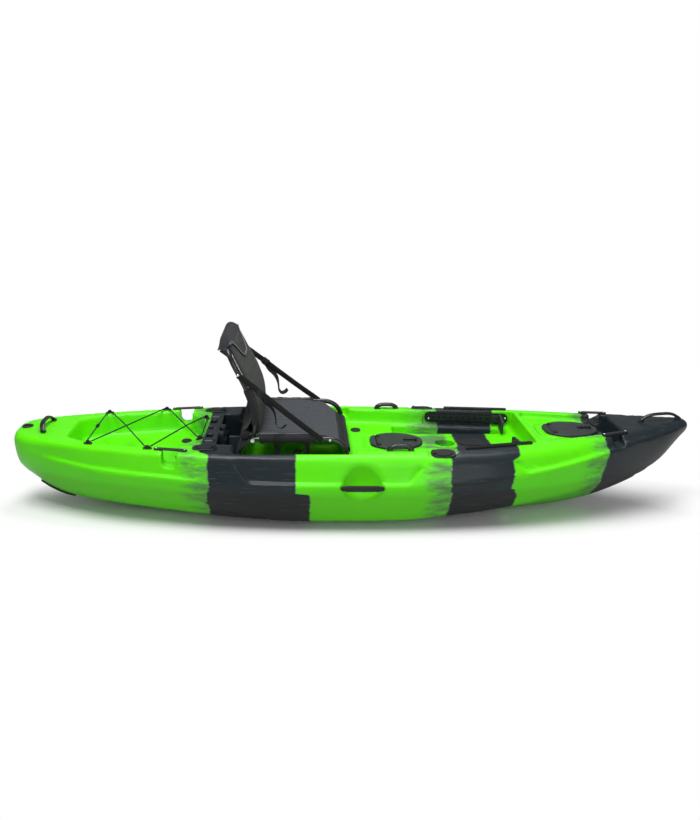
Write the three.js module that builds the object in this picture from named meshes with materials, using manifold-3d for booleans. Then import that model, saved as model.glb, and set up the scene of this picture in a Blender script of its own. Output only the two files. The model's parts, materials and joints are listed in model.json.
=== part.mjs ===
// A ten foot sit-on-top fishing kayak, in millimetres: +X to the bow, +Y to port, +Z up.
// The origin is on the flat of the keel, halfway between the ends of the hull.
import * as THREE from "three";
import { mergeVertices } from "three/addons/utils/BufferGeometryUtils.js";
import Module from "manifold-3d";

const wasm = await Module();
wasm.setup();

// Hull, driving sizes
const hullLength = 3050;
const hullBeam = 786;
const deckHeight = 370;
const hullWall = 5;
const endWall = 45;
const panelDepth = 14;
const panelLip = 8;
const shoulderFall = 0.33;
const keelFlatShare = 0.3;

// Shared clearances
const fitGap = 0.3;
const cutOverrun = 40;
const weldTolerance = 1e-4;
const cleanTolerance = 0.02;
const hollowTolerance = 0.4;
const hullTolerance = 0.1;
const runningGap = 0.35;
const deckClearance = 0.8;
const leastReach = 4;
const leanShare = 0.7;
const joinDepth = 1;
const fineEdge = 1;
const softEdge = 1.2;
const roundEdge = 1.5;
const lidEdge = 2;
const knobEdge = 2.5;

// Wells moulded into the deck; a gunwale is the band left between the crest and the well
const tankGunwale = 34;
const tankCornerBand = 126;
const tankDepth = 102;
const tankDraft = 24;
const tankCorner = 60;
const ledgeGunwale = 4;
const ledgeDepth = 40;
const shelfDepth = 32;
const seatWellDepth = 170;
const seatWellDraft = 20;
const cockpitGunwale = 38;
const cockpitMidBand = 46;
const cockpitFrontBand = 22;
const cockpitDepth = 70;
const cockpitDraft = 15;
const footwellWall = 26;
const footwellDepth = 120;
const footwellDraft = 12;
const bowDeckGunwale = 28;
const bowDeckDepth = 12;
const trayGunwale = 22;
const trayDepth = 65;
const wellCorner = 30;
const deckCorner = 28;
const wellDraft = 8;
const cupBore = 86;
const cupDepth = 74;

// Notches through the gunwales, under the tie bars
const sternNotchWidth = 62;
const sternNotchDepth = 68;
const bowNotchWidth = 47;
const bowNotchDepth = 45;

// Dished recess in each side, behind the carry handle
const sideDishLength = 160;
const sideDishHeight = 178;
const sideDishDepth = 40;
const sideDishRise = 20;

// Carry handles and grips
const sideHandleLength = 182;
const sideHandleHeight = 27;
const sideHandleThick = 13;
const sideHandleSeat = 10;
const sideHandleCorner = 9;
const sideHandleEdge = 4;
const sideHandleShare = 0.65405;
const archThick = 8;
const sternHandleSpan = 186;
const sternHandleRise = 30;
const sternHandleWidth = 26;
const bowHandleRise = 40;
const bowHandleWidth = 20;
const gripSpan = 116;
const gripRise = 28;
const gripWidth = 18;
const gripInset = 26;
const archFoot = 22;
const archBend = 14;
const archToe = 3;
const archHeel = 6;

// Tie bars and accessory rails on the gunwales
const tieBarWidth = 18;
const tieBarThick = 7;
const sternBarInset = 12;
const bowBarInset = 2;
const railInset = 12;
const railWidth = 16;
const railHeight = 8;
const railSlot = 7;
const railLips = 3;

// Flush rod holders
const rodBore = 42;
const rodWall = 3;
const rodDepth = 190;
const rodTilt = 30;
const rodPlateLength = 106;
const rodPlateWidth = 58;
const rodPlateThick = 4;
const rodCapThick = 4;
const rodCapRim = 4;
const rodCapLength = 66;
const rodRoll = 12;
const rodFacetDrop = 9;
const rodFacetWidth = 110;

// Hinges shared by the hatch lids and the rod caps
const pinRadius = 1.7;
const knuckleRadius = 4.2;
const knuckleWidth = 16;
const earWidth = 5;
const hingeRoom = knuckleRadius + 0.4;

// Hatches
const midHatchLength = 240;
const midHatchWidth = 208;
const bowHatchLength = 240;
const bowHatchWidth = 196;
const hatchRimWidth = 15;
const hatchRimThick = 3;
const hatchSpigot = 14;
const hatchSpigotWall = 4;
const hatchLidThick = 7;
const hatchPlug = 8;
const hatchPlugGap = 1.5;
const hatchStrip = 30;
const hatchNose = 26;
const hatchFlank = 70;
const hatchCrown = 2.5;
const hatchCrownBand = 16;
const hatchKnuckle = 60;
const latchLength = 62;
const latchWidth = 17;
const latchHeight = 9;
const latchInset = 34;
const latchShaft = 8;
const camThick = 4;

// Footrests
const trackLength = 396;
const trackHeight = 52;
const trackThick = 5;
const trackNeck = 3.5;
const trackRail = 8;
const trackHead = 26;
const trackLip = 4;
const trackHoles = 12;
const trackHole = 8;
const trackDrop = 28;
const pocketMargin = 8;
const pocketDepth = 1.5;
const pedalWidth = 105;
const pedalHeight = 74;
const pedalThick = 9;
const pedalToe = 14;
const pedalHeel = 4;
const carriageLength = 46;
const carriageHeight = 34;
const carriageWall = 5;
const carriageLip = trackNeck - 2 * runningGap;

// Small deck fittings
const hookLength = 40;
const hookWidth = 17;
const hookBase = 4;
const hookNeck = 8;
const hookHead = 15;
const hookHeadThick = 3;
const hookInset = 15;
const frontHookTurn = 124;
const cordDiameter = 6;
const hookRoom = cordDiameter + 2 * fitGap;
const cordLift = 7;
const cordEndGap = 0.4;
const lockLength = 22;
const lockDiameter = 15;
const plugBore = 38;
const plugHead = 46;
const plugHeadThick = 5;
const plugStem = 26;
const plugSlack = 1;
const drainHead = 48;
const drainBore = 26;
const drainStem = 18;
const skidLength = 150;
const skidWidth = 62;
const skidThick = 9;
const skidSteps = 4;
const consolePlateLength = 108;
const consolePlateWidth = 72;
const consolePlateThick = 3;
const consoleCorner = 5;
const consoleNose = 3;

// Seat
const seatTube = 22;
const crossTube = 25;
const capDiameter = 28;
const capLength = 12;
const loopBend = 85;
const railRise = 70.5;
const footClearance = 0.5;
const slingThick = 3;
const slingSag = 26;
const apronOverlap = 8;
const rollDiameter = 40;
const rollRise = 6;
const rollReach = 1.2;
const pivotDrop = 3;
const backTopBack = 118;
const backTopRise = 403;
const backTopCorner = 120;
const backPanelThick = 5;
const hoodThick = 3;
const hoodBottom = 45;
const sleeveTopRise = 208;
const sleeveLowRise = 54;
const boltRadius = 5;
const boltHead = 9;
const boltHeadThick = 4;
const strapWidth = 25;
const strapThick = 2.4;
const strapTopRise = 273;
const strapTurn = 0.12;
const buckleAt = 0.25;
const buckleLength = 34;
const buckleThick = 8;
const buckleMargin = 2;
const tieRoom = 1.5;
const tieFootLength = 34;
const tieFootWidth = 24;
const tieFootThick = 3;

// The hull's lines, stern to bow. at is a share of the half length, the breadths are shares of
// the half beam, and the heights are shares of the deck height amidships.
const hullLineShares = [
  { at: -1.0, keel: 0.6, bilgeY: 0.05, bilgeZ: 0.62,
    chineY: 0.08, chineZ: 0.8, deckY: 0.07, crestY: 0.03, deckZ: 0.93 },
  { at: -0.984, keel: 0.5, bilgeY: 0.1, bilgeZ: 0.56,
    chineY: 0.24, chineZ: 0.82, deckY: 0.24, crestY: 0.16, deckZ: 1.015 },
  { at: -0.955, keel: 0.4, bilgeY: 0.14, bilgeZ: 0.49,
    chineY: 0.33, chineZ: 0.82, deckY: 0.34, crestY: 0.26, deckZ: 1.022 },
  { at: -0.905, keel: 0.255, bilgeY: 0.2, bilgeZ: 0.37,
    chineY: 0.42, chineZ: 0.8, deckY: 0.43, crestY: 0.36, deckZ: 1.019 },
  { at: -0.84, keel: 0.15, bilgeY: 0.29, bilgeZ: 0.29,
    chineY: 0.52, chineZ: 0.77, deckY: 0.515, crestY: 0.455, deckZ: 1.014 },
  { at: -0.72, keel: 0.07, bilgeY: 0.43, bilgeZ: 0.24,
    chineY: 0.69, chineZ: 0.735, deckY: 0.645, crestY: 0.59, deckZ: 1.005 },
  { at: -0.56, keel: 0.015, bilgeY: 0.56, bilgeZ: 0.2,
    chineY: 0.83, chineZ: 0.71, deckY: 0.77, crestY: 0.71, deckZ: 1.0 },
  { at: -0.36, keel: 0.0, bilgeY: 0.68, bilgeZ: 0.15,
    chineY: 0.95, chineZ: 0.68, deckY: 0.87, crestY: 0.81, deckZ: 0.998 },
  { at: -0.13, keel: 0.0, bilgeY: 0.76, bilgeZ: 0.125,
    chineY: 0.998, chineZ: 0.665, deckY: 0.91, crestY: 0.835, deckZ: 0.998 },
  { at: 0.1, keel: 0.0, bilgeY: 0.775, bilgeZ: 0.14,
    chineY: 1.0, chineZ: 0.665, deckY: 0.905, crestY: 0.79, deckZ: 1.002 },
  { at: 0.33, keel: 0.006, bilgeY: 0.725, bilgeZ: 0.22,
    chineY: 0.95, chineZ: 0.71, deckY: 0.86, crestY: 0.7, deckZ: 1.013 },
  { at: 0.525, keel: 0.043, bilgeY: 0.615, bilgeZ: 0.33,
    chineY: 0.82, chineZ: 0.79, deckY: 0.73, crestY: 0.575, deckZ: 1.032 },
  { at: 0.69, keel: 0.135, bilgeY: 0.48, bilgeZ: 0.46,
    chineY: 0.63, chineZ: 0.9, deckY: 0.54, crestY: 0.42, deckZ: 1.05 },
  { at: 0.82, keel: 0.31, bilgeY: 0.3, bilgeZ: 0.62,
    chineY: 0.43, chineZ: 1.0, deckY: 0.375, crestY: 0.29, deckZ: 1.075 },
  { at: 0.92, keel: 0.57, bilgeY: 0.16, bilgeZ: 0.76,
    chineY: 0.25, chineZ: 1.045, deckY: 0.215, crestY: 0.145, deckZ: 1.1 },
  { at: 0.98, keel: 0.88, bilgeY: 0.06, bilgeZ: 0.96,
    chineY: 0.11, chineZ: 1.07, deckY: 0.09, crestY: 0.05, deckZ: 1.12 },
  { at: 1.0, keel: 0.98, bilgeY: 0.02, bilgeZ: 1.0,
    chineY: 0.035, chineZ: 1.03, deckY: 0.03, crestY: 0.015, deckZ: 1.08 },
];

// Side panels that stand back above a ledge: ends and run-out, as shares of the half length
const panelShares = [
  { from: -0.93, to: -0.4, runOut: 0.12, lift: 0 },
  { from: -0.335, to: 0.19, runOut: 0.05, lift: 1 },
  { from: 0.43, to: 0.78, runOut: 0.05, lift: 1 },
];

// Stations along the hull, closer where its lines turn, as shares of the half length
const stationShares = [
  -1, -0.984, -0.955, -0.905, -0.84, -0.78, -0.72, -0.64, -0.56, -0.48, -0.42, -0.38, -0.355,
  -0.335, -0.31, -0.285, -0.2, -0.1, 0, 0.1, 0.14, 0.165, 0.19, 0.26, 0.33, 0.42, 0.445, 0.48,
  0.56, 0.64, 0.7, 0.75, 0.78, 0.82, 0.87, 0.92, 0.95, 0.98, 1,
];

// Places along the hull, as shares of the half length
const placeShares = {
  tankRear: -0.828, tankShoulder: -0.755, tankMiddle: -0.6, tankWide: -0.518, tankCorner: -0.469,
  tankFront: -0.4328, shelfRear: -0.376, seatRear: -0.3377, seatWellRear: -0.3213,
  seatFront: -0.0197, ledgeFront: 0.003, cockpitRear: -0.0138, cockpitWide: 0.166,
  footwellRear: 0.134, footwellFront: 0.485, cockpitFront: 0.515,
  bowDeckRear: 0.531, bowDeckFront: 0.745, trayRear: 0.736, trayFront: 0.782,
  sternNotch: -0.513, bowNotch: 0.7525, sternBar: -0.5105, bowBar: 0.749,
  sternHandle: -0.9, bowHandle: 0.915, grip: 0.124, sideHandle: 0.017,
  rail: 0.402, rearRod: -0.418, frontRod: 0.24,
  midHatch: 0.1354, bowHatch: 0.652, cup: 0.282, console: 0.357,
  track: 0.3725, pedal: 0.466,
  rearHook: -0.75, middleHook: -0.576, frontHook: -0.4407,
  drain: -0.963, skid: -0.885,
  tankScupper: -0.502, seatScupper: 0.0215, footScupper: 0.452,
  loopRear: -0.31934, loopFront: -0.02361, slingRear: -0.26361, slingFront: -0.11475,
  roll: -0.30557, backPivot: -0.28328, strapFoot: -0.09246, tie: -0.21639,
};

// Half breadths, as shares of the half beam
const breadthShares = {
  tankFront: 0.24173, tankRear: 0.28499, shelf: 0.52163, seatWell: 0.59033, footwell: 0.30025,
  rodFacet: 0.77099, rearRod: 0.64122, frontHook: 0.35623, tankScupper: 0.25954, seatScupper: 0.41985,
  footScupper: 0.41985, cross: 0.75573, loop: 0.6743, back: 0.59033,
};

// Lengths of the bars and rails along the gunwales, as shares of the hull's length
const lengthShares = { sternBar: 0.04787, bowBar: 0.04066, bowHandle: 0.0623, rail: 0.09705 };

// The middle line of the back's side tubes, from below the pivot up to the start of the top bend:
// how far each point is forward of the pivot, and how far above the rails
const backSteps = [
  { ahead: -3, rise: -12 }, { ahead: 5, rise: 15 }, { ahead: 10, rise: 54 }, { ahead: 8, rise: 90 },
  { ahead: 3, rise: 129 }, { ahead: -9, rise: 165 }, { ahead: -25, rise: 208 },
  { ahead: -44, rise: 251 }, { ahead: -64, rise: 290 },
];

// The loose end of a back strap, hanging from its buckle, measured in the same way
const tailSteps = [
  { ahead: 43, rise: 185 }, { ahead: 56, rise: 163 }, { ahead: 77, rise: 141 },
  { ahead: 91, rise: 115 }, { ahead: 97, rise: 85 }, { ahead: 99, rise: 62 },
  { ahead: 111, rise: 46 }, { ahead: 128, rise: 49 }, { ahead: 140, rise: 62 },
];

const halfLength = hullLength / 2;
const halfBeam = hullBeam / 2;
const place = (name) => placeShares[name] * halfLength;

// Half breadths that follow the beam
const breadthOf = (name) => breadthShares[name] * halfBeam;
const crossHalf = breadthOf("cross");
const loopHalf = breadthOf("loop");
const backHalf = breadthOf("back");
const rodFacetY = breadthOf("rodFacet");

// Lengths that follow the hull
const lengthOf = (name) => lengthShares[name] * hullLength;
const sternBarLength = lengthOf("sternBar");
const bowBarLength = lengthOf("bowBar");
const bowHandleSpan = lengthOf("bowHandle");
const railLength = lengthOf("rail");

// Heights that follow the deck
const tankFloor = deckHeight - tankDepth;
const ledgeFloor = deckHeight - ledgeDepth;
const shelfFloor = deckHeight - shelfDepth;
const seatWellFloor = deckHeight - seatWellDepth;
const cockpitFloor = deckHeight - cockpitDepth;
const footwellFloor = deckHeight - footwellDepth;
const bowDeckFloor = deckHeight - bowDeckDepth;
const trayFloor = deckHeight - trayDepth;
const sideHandleZ = deckHeight * sideHandleShare;
const trackMid = deckHeight - trackDrop;

// The seat stands on the ledges, and its back on the seat's rails
const crossHeight = ledgeFloor + capDiameter / 2 + footClearance;
const railHeightZ = crossHeight + railRise;
const loopRear = place("loopRear");
const loopFront = place("loopFront");
const slingRear = place("slingRear");
const slingFront = place("slingFront");
const backPivotX = place("backPivot");
const backPivotZ = railHeightZ - pivotDrop;
const backTopX = backPivotX - backTopBack;
const backTopZ = railHeightZ + backTopRise;
const sleeveTop = railHeightZ + sleeveTopRise;
const sleeveLow = railHeightZ + sleeveLowRise;
const strapTopZ = railHeightZ + strapTopRise;
const fromPivot = ({ ahead, rise }) => ({ x: backPivotX + ahead, z: railHeightZ + rise });
const backLine = backSteps.map(fromPivot);
const strapTail = tailSteps.map(fromPivot);

// Monotone cubic through one column of the lines, so that no line overshoots between stations
function lineShare(name, at) {
  const rows = hullLineShares;
  const last = rows.length - 2;
  let i = 0;
  while (i < last && at > rows[i + 1].at) i += 1;
  const slope = (k) => (rows[k + 1][name] - rows[k][name]) / (rows[k + 1].at - rows[k].at);
  const tangent = (k) => {
    if (k === 0) return slope(0);
    if (k > last) return slope(last);
    const before = slope(k - 1);
    const after = slope(k);
    return before * after <= 0 ? 0 : (2 * before * after) / (before + after);
  };
  const step = rows[i + 1].at - rows[i].at;
  const t = (at - rows[i].at) / step;
  const rise = rows[i + 1][name] - rows[i][name];
  const start = tangent(i) * step;
  const end = tangent(i + 1) * step;
  const bend = t * (start + t * (3 * rise - 2 * start - end + t * (start + end - 2 * rise)));
  return rows[i][name] + bend;
}

const breadthAt = (name, x) => halfBeam * lineShare(name, x / halfLength);
const heightAt = (name, x) => deckHeight * lineShare(name, x / halfLength);
const deckAt = (x) => heightAt("deckZ", x);
const innerEdge = (x, gunwale) => breadthAt("crestY", x) - gunwale;

const notches = [
  ["sternNotch", sternNotchWidth, sternNotchDepth],
  ["bowNotch", bowNotchWidth, bowNotchDepth],
];
const hatchTop = fitGap + hatchRimThick + runningGap + hatchLidThick;
const hatchPinZ = fitGap + hatchRimThick + runningGap + knuckleRadius;
const rodPin = { x: -41, z: rodPlateThick + runningGap + knuckleRadius };

// How far a side panel stands back at x, and how high its ledge climbs, each from 0 to 1
function panelAt(x) {
  const at = x / halfLength;
  for (const { from, to, runOut, lift } of panelShares) {
    if (at <= from || at >= to) continue;
    const ends = Math.min((at - from) / runOut, (to - at) / runOut, 1);
    const eased = ends * ends * (3 - 2 * ends);
    return { depth: lift ? Math.min(1, eased * 4) : eased, climb: lift * (1 - eased) };
  }
  return { depth: 0, climb: 0 };
}

// One closed section of the hull, anticlockwise from the keel up the port side
function hullSection(x) {
  const keel = heightAt("keel", x);
  const bilge = { y: breadthAt("bilgeY", x), z: heightAt("bilgeZ", x) };
  const chine = { y: breadthAt("chineY", x), z: heightAt("chineZ", x) };
  const deck = deckAt(x);
  const edge = breadthAt("deckY", x);
  const crest = breadthAt("crestY", x);
  const drop = (edge - crest) * shoulderFall;
  const low = { y: edge + (chine.y - edge) * 0.12, z: deck - drop - (deck - chine.z) * 0.22 };
  const { depth, climb } = panelAt(x);
  const inset = panelDepth * depth;
  const lip = panelLip / Math.max(low.z - chine.z, panelLip * 2);
  const ledge = 0.1 + climb * 0.75;
  const side = (t) => ({ y: chine.y + (low.y - chine.y) * t, z: chine.z + (low.z - chine.z) * t });
  const out = side(ledge);
  const back = side(Math.min(ledge + lip, 0.95));
  const port = [
    [bilge.y * keelFlatShare, keel],
    [bilge.y * 0.86, keel + (bilge.z - keel) * 0.78],
    [bilge.y, bilge.z],
    [bilge.y + (chine.y - bilge.y) * 0.45, bilge.z + (chine.z - bilge.z) * 0.36],
    [bilge.y + (chine.y - bilge.y) * 0.82, bilge.z + (chine.z - bilge.z) * 0.74],
    [chine.y, chine.z],
    [out.y, out.z],
    [back.y - inset, back.z],
    [low.y - inset * 0.3, low.z],
    [edge - drop * 0.4, deck - drop],
    [crest, deck],
  ];
  const starboard = port.map(([y, z]) => [-y, z]).reverse();
  return [...port, ...starboard].map(([y, z]) => new THREE.Vector2(y, z));
}

// A closed outline moved inwards by a wall along its corners' bisectors
function shrunk(outline, wall) {
  return outline.map((p, i) => {
    const prev = outline[(i + outline.length - 1) % outline.length];
    const next = outline[(i + 1) % outline.length];
    const before = p.clone().sub(prev).normalize();
    const after = next.clone().sub(p).normalize();
    const inward = new THREE.Vector2(-before.y - after.y, before.x + after.x).normalize();
    const spread = Math.max(inward.y * after.x - inward.x * after.y, 0.5);
    return p.clone().addScaledVector(inward, wall / spread);
  });
}

const grown = (outline, wall) => shrunk(outline, -wall);

// A geometry as a body that can be joined and cut, facing out
function solid(geometry) {
  const bare = geometry.clone();
  bare.deleteAttribute("normal");
  bare.deleteAttribute("uv");
  const merged = mergeVertices(bare, weldTolerance);
  const vertProperties = new Float32Array(merged.attributes.position.array);
  const triVerts = new Uint32Array(merged.index.array);
  const body = new wasm.Manifold(new wasm.Mesh({ numProp: 3, vertProperties, triVerts }));
  if (body.volume() > 0) return body;
  for (let i = 0; i < triVerts.length; i += 3) {
    [triVerts[i], triVerts[i + 1]] = [triVerts[i + 1], triVerts[i]];
  }
  return new wasm.Manifold(new wasm.Mesh({ numProp: 3, vertProperties, triVerts }));
}

const joined = (bodies) => bodies.reduce((whole, body) => whole.add(body));

// Rings of equal count joined into one body; an end without an outline is closed by a fan
function loft(rings, flats = []) {
  const count = rings[0].length;
  const corners = rings.flat();
  const index = [];
  for (let r = 0; r + 1 < rings.length; r += 1) {
    for (let i = 0; i < count; i += 1) {
      const a = r * count + i;
      const b = r * count + ((i + 1) % count);
      index.push(a, b, a + count, b, b + count, a + count);
    }
  }
  const close = (ring, start, flat, flip) => {
    let faces = [];
    if (flat) {
      faces = THREE.ShapeUtils.triangulateShape(flat, []).map((face) => face.map((i) => start + i));
      if (THREE.ShapeUtils.isClockWise(flat)) faces = faces.map((face) => face.reverse());
    } else {
      const middle = ring.reduce((sum, p) => sum.add(p), new THREE.Vector3()).divideScalar(count);
      corners.push(middle);
      ring.forEach((p, i) => faces.push([start + i, start + ((i + 1) % count), corners.length - 1]));
    }
    for (const [a, b, c] of faces) index.push(...(flip ? [a, c, b] : [a, b, c]));
  };
  close(rings[0], 0, flats[0], true);
  close(rings.at(-1), (rings.length - 1) * count, flats[1], false);
  const geometry = new THREE.BufferGeometry();
  const flatList = corners.flatMap((p) => [p.x, p.y, p.z]);
  geometry.setAttribute("position", new THREE.Float32BufferAttribute(flatList, 3));
  geometry.setIndex(index);
  return solid(geometry);
}

// Level outlines stacked from the lowest up
function stacked(levels) {
  return loft(levels.map(([outline, z]) => outline.map((p) => new THREE.Vector3(p.x, p.y, z))));
}

// A plate with an edge rounded off at its top
function pad(outline, bottom, top, edge) {
  return stacked([[outline, bottom], [outline, top - edge], [shrunk(outline, edge), top]]);
}

const slab = (outline, bottom, top) => stacked([[outline, bottom], [outline, top]]);

// An outline through [x, y, radius] corners, anticlockwise seen from above
function roundOutline(corners, steps = 3) {
  const points = [];
  corners.forEach(([x, y, radius], i) => {
    const here = new THREE.Vector2(x, y);
    const prev = new THREE.Vector2(...corners[(i + corners.length - 1) % corners.length]);
    const next = new THREE.Vector2(...corners[(i + 1) % corners.length]);
    const back = prev.sub(here).normalize();
    const on = next.sub(here).normalize();
    const reach = radius / Math.tan(back.angleTo(on) / 2);
    const from = here.clone().addScaledVector(back, reach);
    const to = here.clone().addScaledVector(on, reach);
    const curve = new THREE.QuadraticBezierCurve(from, here, to);
    points.push(...(reach > leastReach ? curve.getPoints(steps) : [here]));
  });
  return points.filter((p, i) => p.distanceTo(points.at(i - 1)) > cleanTolerance);
}

// A rectangle on the origin, with round corners
function plateOutline(length, width, radius, steps = 3) {
  const x = length / 2;
  const y = width / 2;
  return roundOutline([[x, y, radius], [-x, y, radius], [-x, -y, radius], [x, -y, radius]], steps);
}

// The port half of an outline, from the bow end aft, with its mirror image to starboard
function mirrored(corners) {
  return [...corners, ...corners.map(([x, y, radius]) => [x, -y, radius]).reverse()];
}

function block(length, width, height) {
  return solid(new THREE.BoxGeometry(length, width, height));
}

// A round bar along Z from its bottom to its top
function upright(diameter, bottom, top, sides = 12) {
  const radius = diameter / 2;
  const bar = new THREE.CylinderGeometry(radius, radius, top - bottom, sides);
  bar.rotateX(Math.PI / 2);
  bar.translate(0, 0, (top + bottom) / 2);
  return solid(bar);
}

// A round bar along Y, centred on the origin
function crossBar(diameter, length, sides = 10) {
  return solid(new THREE.CylinderGeometry(diameter / 2, diameter / 2, length, sides));
}

// A route with one ring at each of its points
class Route extends THREE.Curve {
  constructor(points) {
    super();
    this.points = points;
  }

  getPointAt(share) {
    return this.points[Math.round(share * (this.points.length - 1))].clone();
  }

  getTangentAt(share) {
    const here = Math.round(share * (this.points.length - 1));
    const before = this.points[Math.max(here - 1, 0)];
    const after = this.points[Math.min(here + 1, this.points.length - 1)];
    return after.clone().sub(before).normalize();
  }
}

function swept(outline, points) {
  const shape = new THREE.Shape(outline);
  const settings = { steps: points.length - 1, bevelEnabled: false, extrudePath: new Route(points) };
  return solid(new THREE.ExtrudeGeometry(shape, settings));
}

// A round rod along a route
function rod(points, diameter, sides = 12) {
  const circle = [];
  for (let i = 0; i < sides; i += 1) {
    const turn = (2 * Math.PI * i) / sides;
    circle.push(new THREE.Vector2(Math.cos(turn), Math.sin(turn)).multiplyScalar(diameter / 2));
  }
  return swept(circle, points);
}

// A flat strip along a route in an upright plane: its size across the plane, then within it
function strip(points, across, within) {
  const x = across / 2;
  const y = within / 2;
  const corners = [[-x, -y], [x, -y], [x, y], [-x, y]];
  return swept(corners.map(([a, b]) => new THREE.Vector2(a, b)), points);
}

const degrees = (radians) => (radians * 180) / Math.PI;
const radians = (angle) => (angle * Math.PI) / 180;

// How the deck rises at x along a fitting's half length, and the height that clears both its ends
function deckSeat(x, reach) {
  const ahead = deckAt(x + reach);
  const astern = deckAt(x - reach);
  return {
    slope: degrees(Math.atan2(ahead - astern, 2 * reach)),
    z: Math.max((ahead + astern) / 2, deckAt(x)) + deckClearance,
  };
}

// How the gunwale's crest turns at x, seen from above
function crestTurn(x, reach) {
  const across = breadthAt("crestY", x + reach) - breadthAt("crestY", x - reach);
  return degrees(Math.atan2(across, 2 * reach));
}

// A body moved onto the port gunwale at x, inset from the crest, and turned to follow it
function onGunwale(body, x, inset, length) {
  const reach = length / 2;
  const { slope, z } = deckSeat(x, reach);
  const y = breadthAt("crestY", x) - inset;
  return body.rotate([0, -slope, crestTurn(x, reach)]).translate([x, y, z]);
}

// The wells: each is cut twice, once from the skin and once, a wall larger, from the hollow
function wellCut(outline, floor, draft, wall = 0) {
  const bottom = floor - wall;
  const foot = Math.min(draft, (deckHeight - floor) / 3);
  const lean = draft * leanShare;
  return stacked([
    [shrunk(outline, lean + foot - wall), bottom],
    [shrunk(outline, lean - wall), bottom + foot],
    [grown(outline, wall), deckHeight],
    [grown(outline, wall), deckHeight + cutOverrun + wall],
  ]);
}

// Well outlines, port side listed from the bow end aft
function wellOutlines() {
  const at = place;
  const edge = (x, gunwale) => innerEdge(x, gunwale);
  const tank = mirrored([
    [at("tankFront"), breadthOf("tankFront"), wellCorner],
    [at("tankCorner"), edge(at("tankCorner"), tankCornerBand), tankCorner],
    [at("tankWide"), edge(at("tankWide"), tankGunwale), tankCorner],
    [at("tankMiddle"), edge(at("tankMiddle"), tankGunwale), tankCorner],
    [at("tankShoulder"), edge(at("tankShoulder"), tankGunwale), tankCorner],
    [at("tankRear"), breadthOf("tankRear"), tankCorner],
  ]);
  const shelf = mirrored([
    [at("seatRear") + wellCorner, breadthOf("shelf"), wellCorner],
    [at("shelfRear"), breadthOf("shelf"), wellCorner],
  ]);
  const ledge = mirrored([
    [at("ledgeFront"), edge(at("ledgeFront"), ledgeGunwale), deckCorner],
    [at("seatRear"), edge(at("seatRear"), ledgeGunwale), wellCorner],
  ]);
  const seat = mirrored([
    [at("seatFront"), breadthOf("seatWell"), wellCorner],
    [at("seatWellRear"), breadthOf("seatWell"), wellCorner],
  ]);
  const cockpit = mirrored([
    [at("cockpitFront"), edge(at("cockpitFront"), cockpitFrontBand), deckCorner],
    [at("cockpitWide"), edge(at("cockpitWide"), cockpitMidBand), tankCorner],
    [at("cockpitRear"), edge(at("cockpitRear"), cockpitGunwale), deckCorner],
  ]);
  const bowDeck = mirrored([
    [at("bowDeckFront"), edge(at("bowDeckFront"), bowDeckGunwale), deckCorner],
    [at("bowDeckRear"), edge(at("bowDeckRear"), bowDeckGunwale), wellCorner],
  ]);
  const tray = mirrored([
    [at("trayFront"), edge(at("trayFront"), trayGunwale), deckCorner],
    [at("trayRear"), edge(at("trayRear"), trayGunwale), deckCorner],
  ]);
  const outer = (x) => cockpitWall(x) - footwellWall;
  const foot = [
    [at("footwellFront"), breadthOf("footwell"), wellCorner],
    [at("footwellFront"), outer(at("footwellFront")), wellCorner],
    [at("footwellRear"), outer(at("footwellRear")), wellCorner],
    [at("footwellRear"), breadthOf("footwell"), wellCorner],
  ];
  return [
    { outline: roundOutline(tank), floor: tankFloor, draft: tankDraft },
    { outline: roundOutline(shelf, 3), floor: shelfFloor, draft: wellDraft },
    { outline: roundOutline(ledge, 3), floor: ledgeFloor, draft: wellDraft },
    { outline: roundOutline(seat), floor: seatWellFloor, draft: seatWellDraft },
    { outline: roundOutline(cockpit, 3), floor: cockpitFloor, draft: cockpitDraft },
    { outline: roundOutline(bowDeck, 3), floor: bowDeckFloor, draft: wellDraft },
    { outline: roundOutline(tray, 3), floor: trayFloor, draft: wellDraft },
    { outline: roundOutline(foot, 3), floor: footwellFloor, draft: footwellDraft, twin: true },
  ];
}

// The cockpit's side wall runs straight between two corners of its outline
function cockpitWall(x) {
  const from = place("cockpitWide");
  const to = place("cockpitFront");
  const start = innerEdge(from, cockpitMidBand);
  const end = innerEdge(to, cockpitFrontBand);
  return start + ((end - start) * (x - from)) / (to - from);
}

const wallTurn = Math.atan2(
  cockpitWall(place("cockpitFront")) - cockpitWall(place("cockpitWide")),
  place("cockpitFront") - place("cockpitWide"),
);

// A U notch straight across both gunwales
function notchCut(x, width, depth, wall = 0) {
  const half = width / 2;
  const low = deckAt(x) - depth;
  const outline = roundOutline([
    [x + half, deckHeight + cutOverrun * 2, 0],
    [x - half, deckHeight + cutOverrun * 2, 0],
    [x - half, low, half * 0.7],
    [x + half, low, half * 0.7],
  ]);
  const ring = (y) => grown(outline, wall).map((p) => new THREE.Vector3(p.x, y, p.y));
  return loft([ring(halfBeam + cutOverrun), ring(-halfBeam - cutOverrun)]);
}

// A dish in the port side, for the fingers behind the carry handle
function dishCut(wall = 0) {
  const ball = new THREE.SphereGeometry(1, 14, 8);
  ball.rotateX(Math.PI / 2);
  ball.scale(sideDishLength / 2 + wall, sideDishDepth + wall, sideDishHeight / 2 + wall);
  ball.translate(place("sideHandle"), halfBeam, sideHandleZ + sideDishRise);
  return solid(ball);
}

// The slot that the ends of the port carry handle sit in
function handleSlot(wall = 0) {
  const grow = 2 * (fitGap + wall);
  return block(sideHandleLength + grow, 2 * (sideHandleSeat + fitGap + wall), sideHandleHeight + grow)
    .translate([place("sideHandle"), halfBeam, sideHandleZ]);
}

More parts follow.
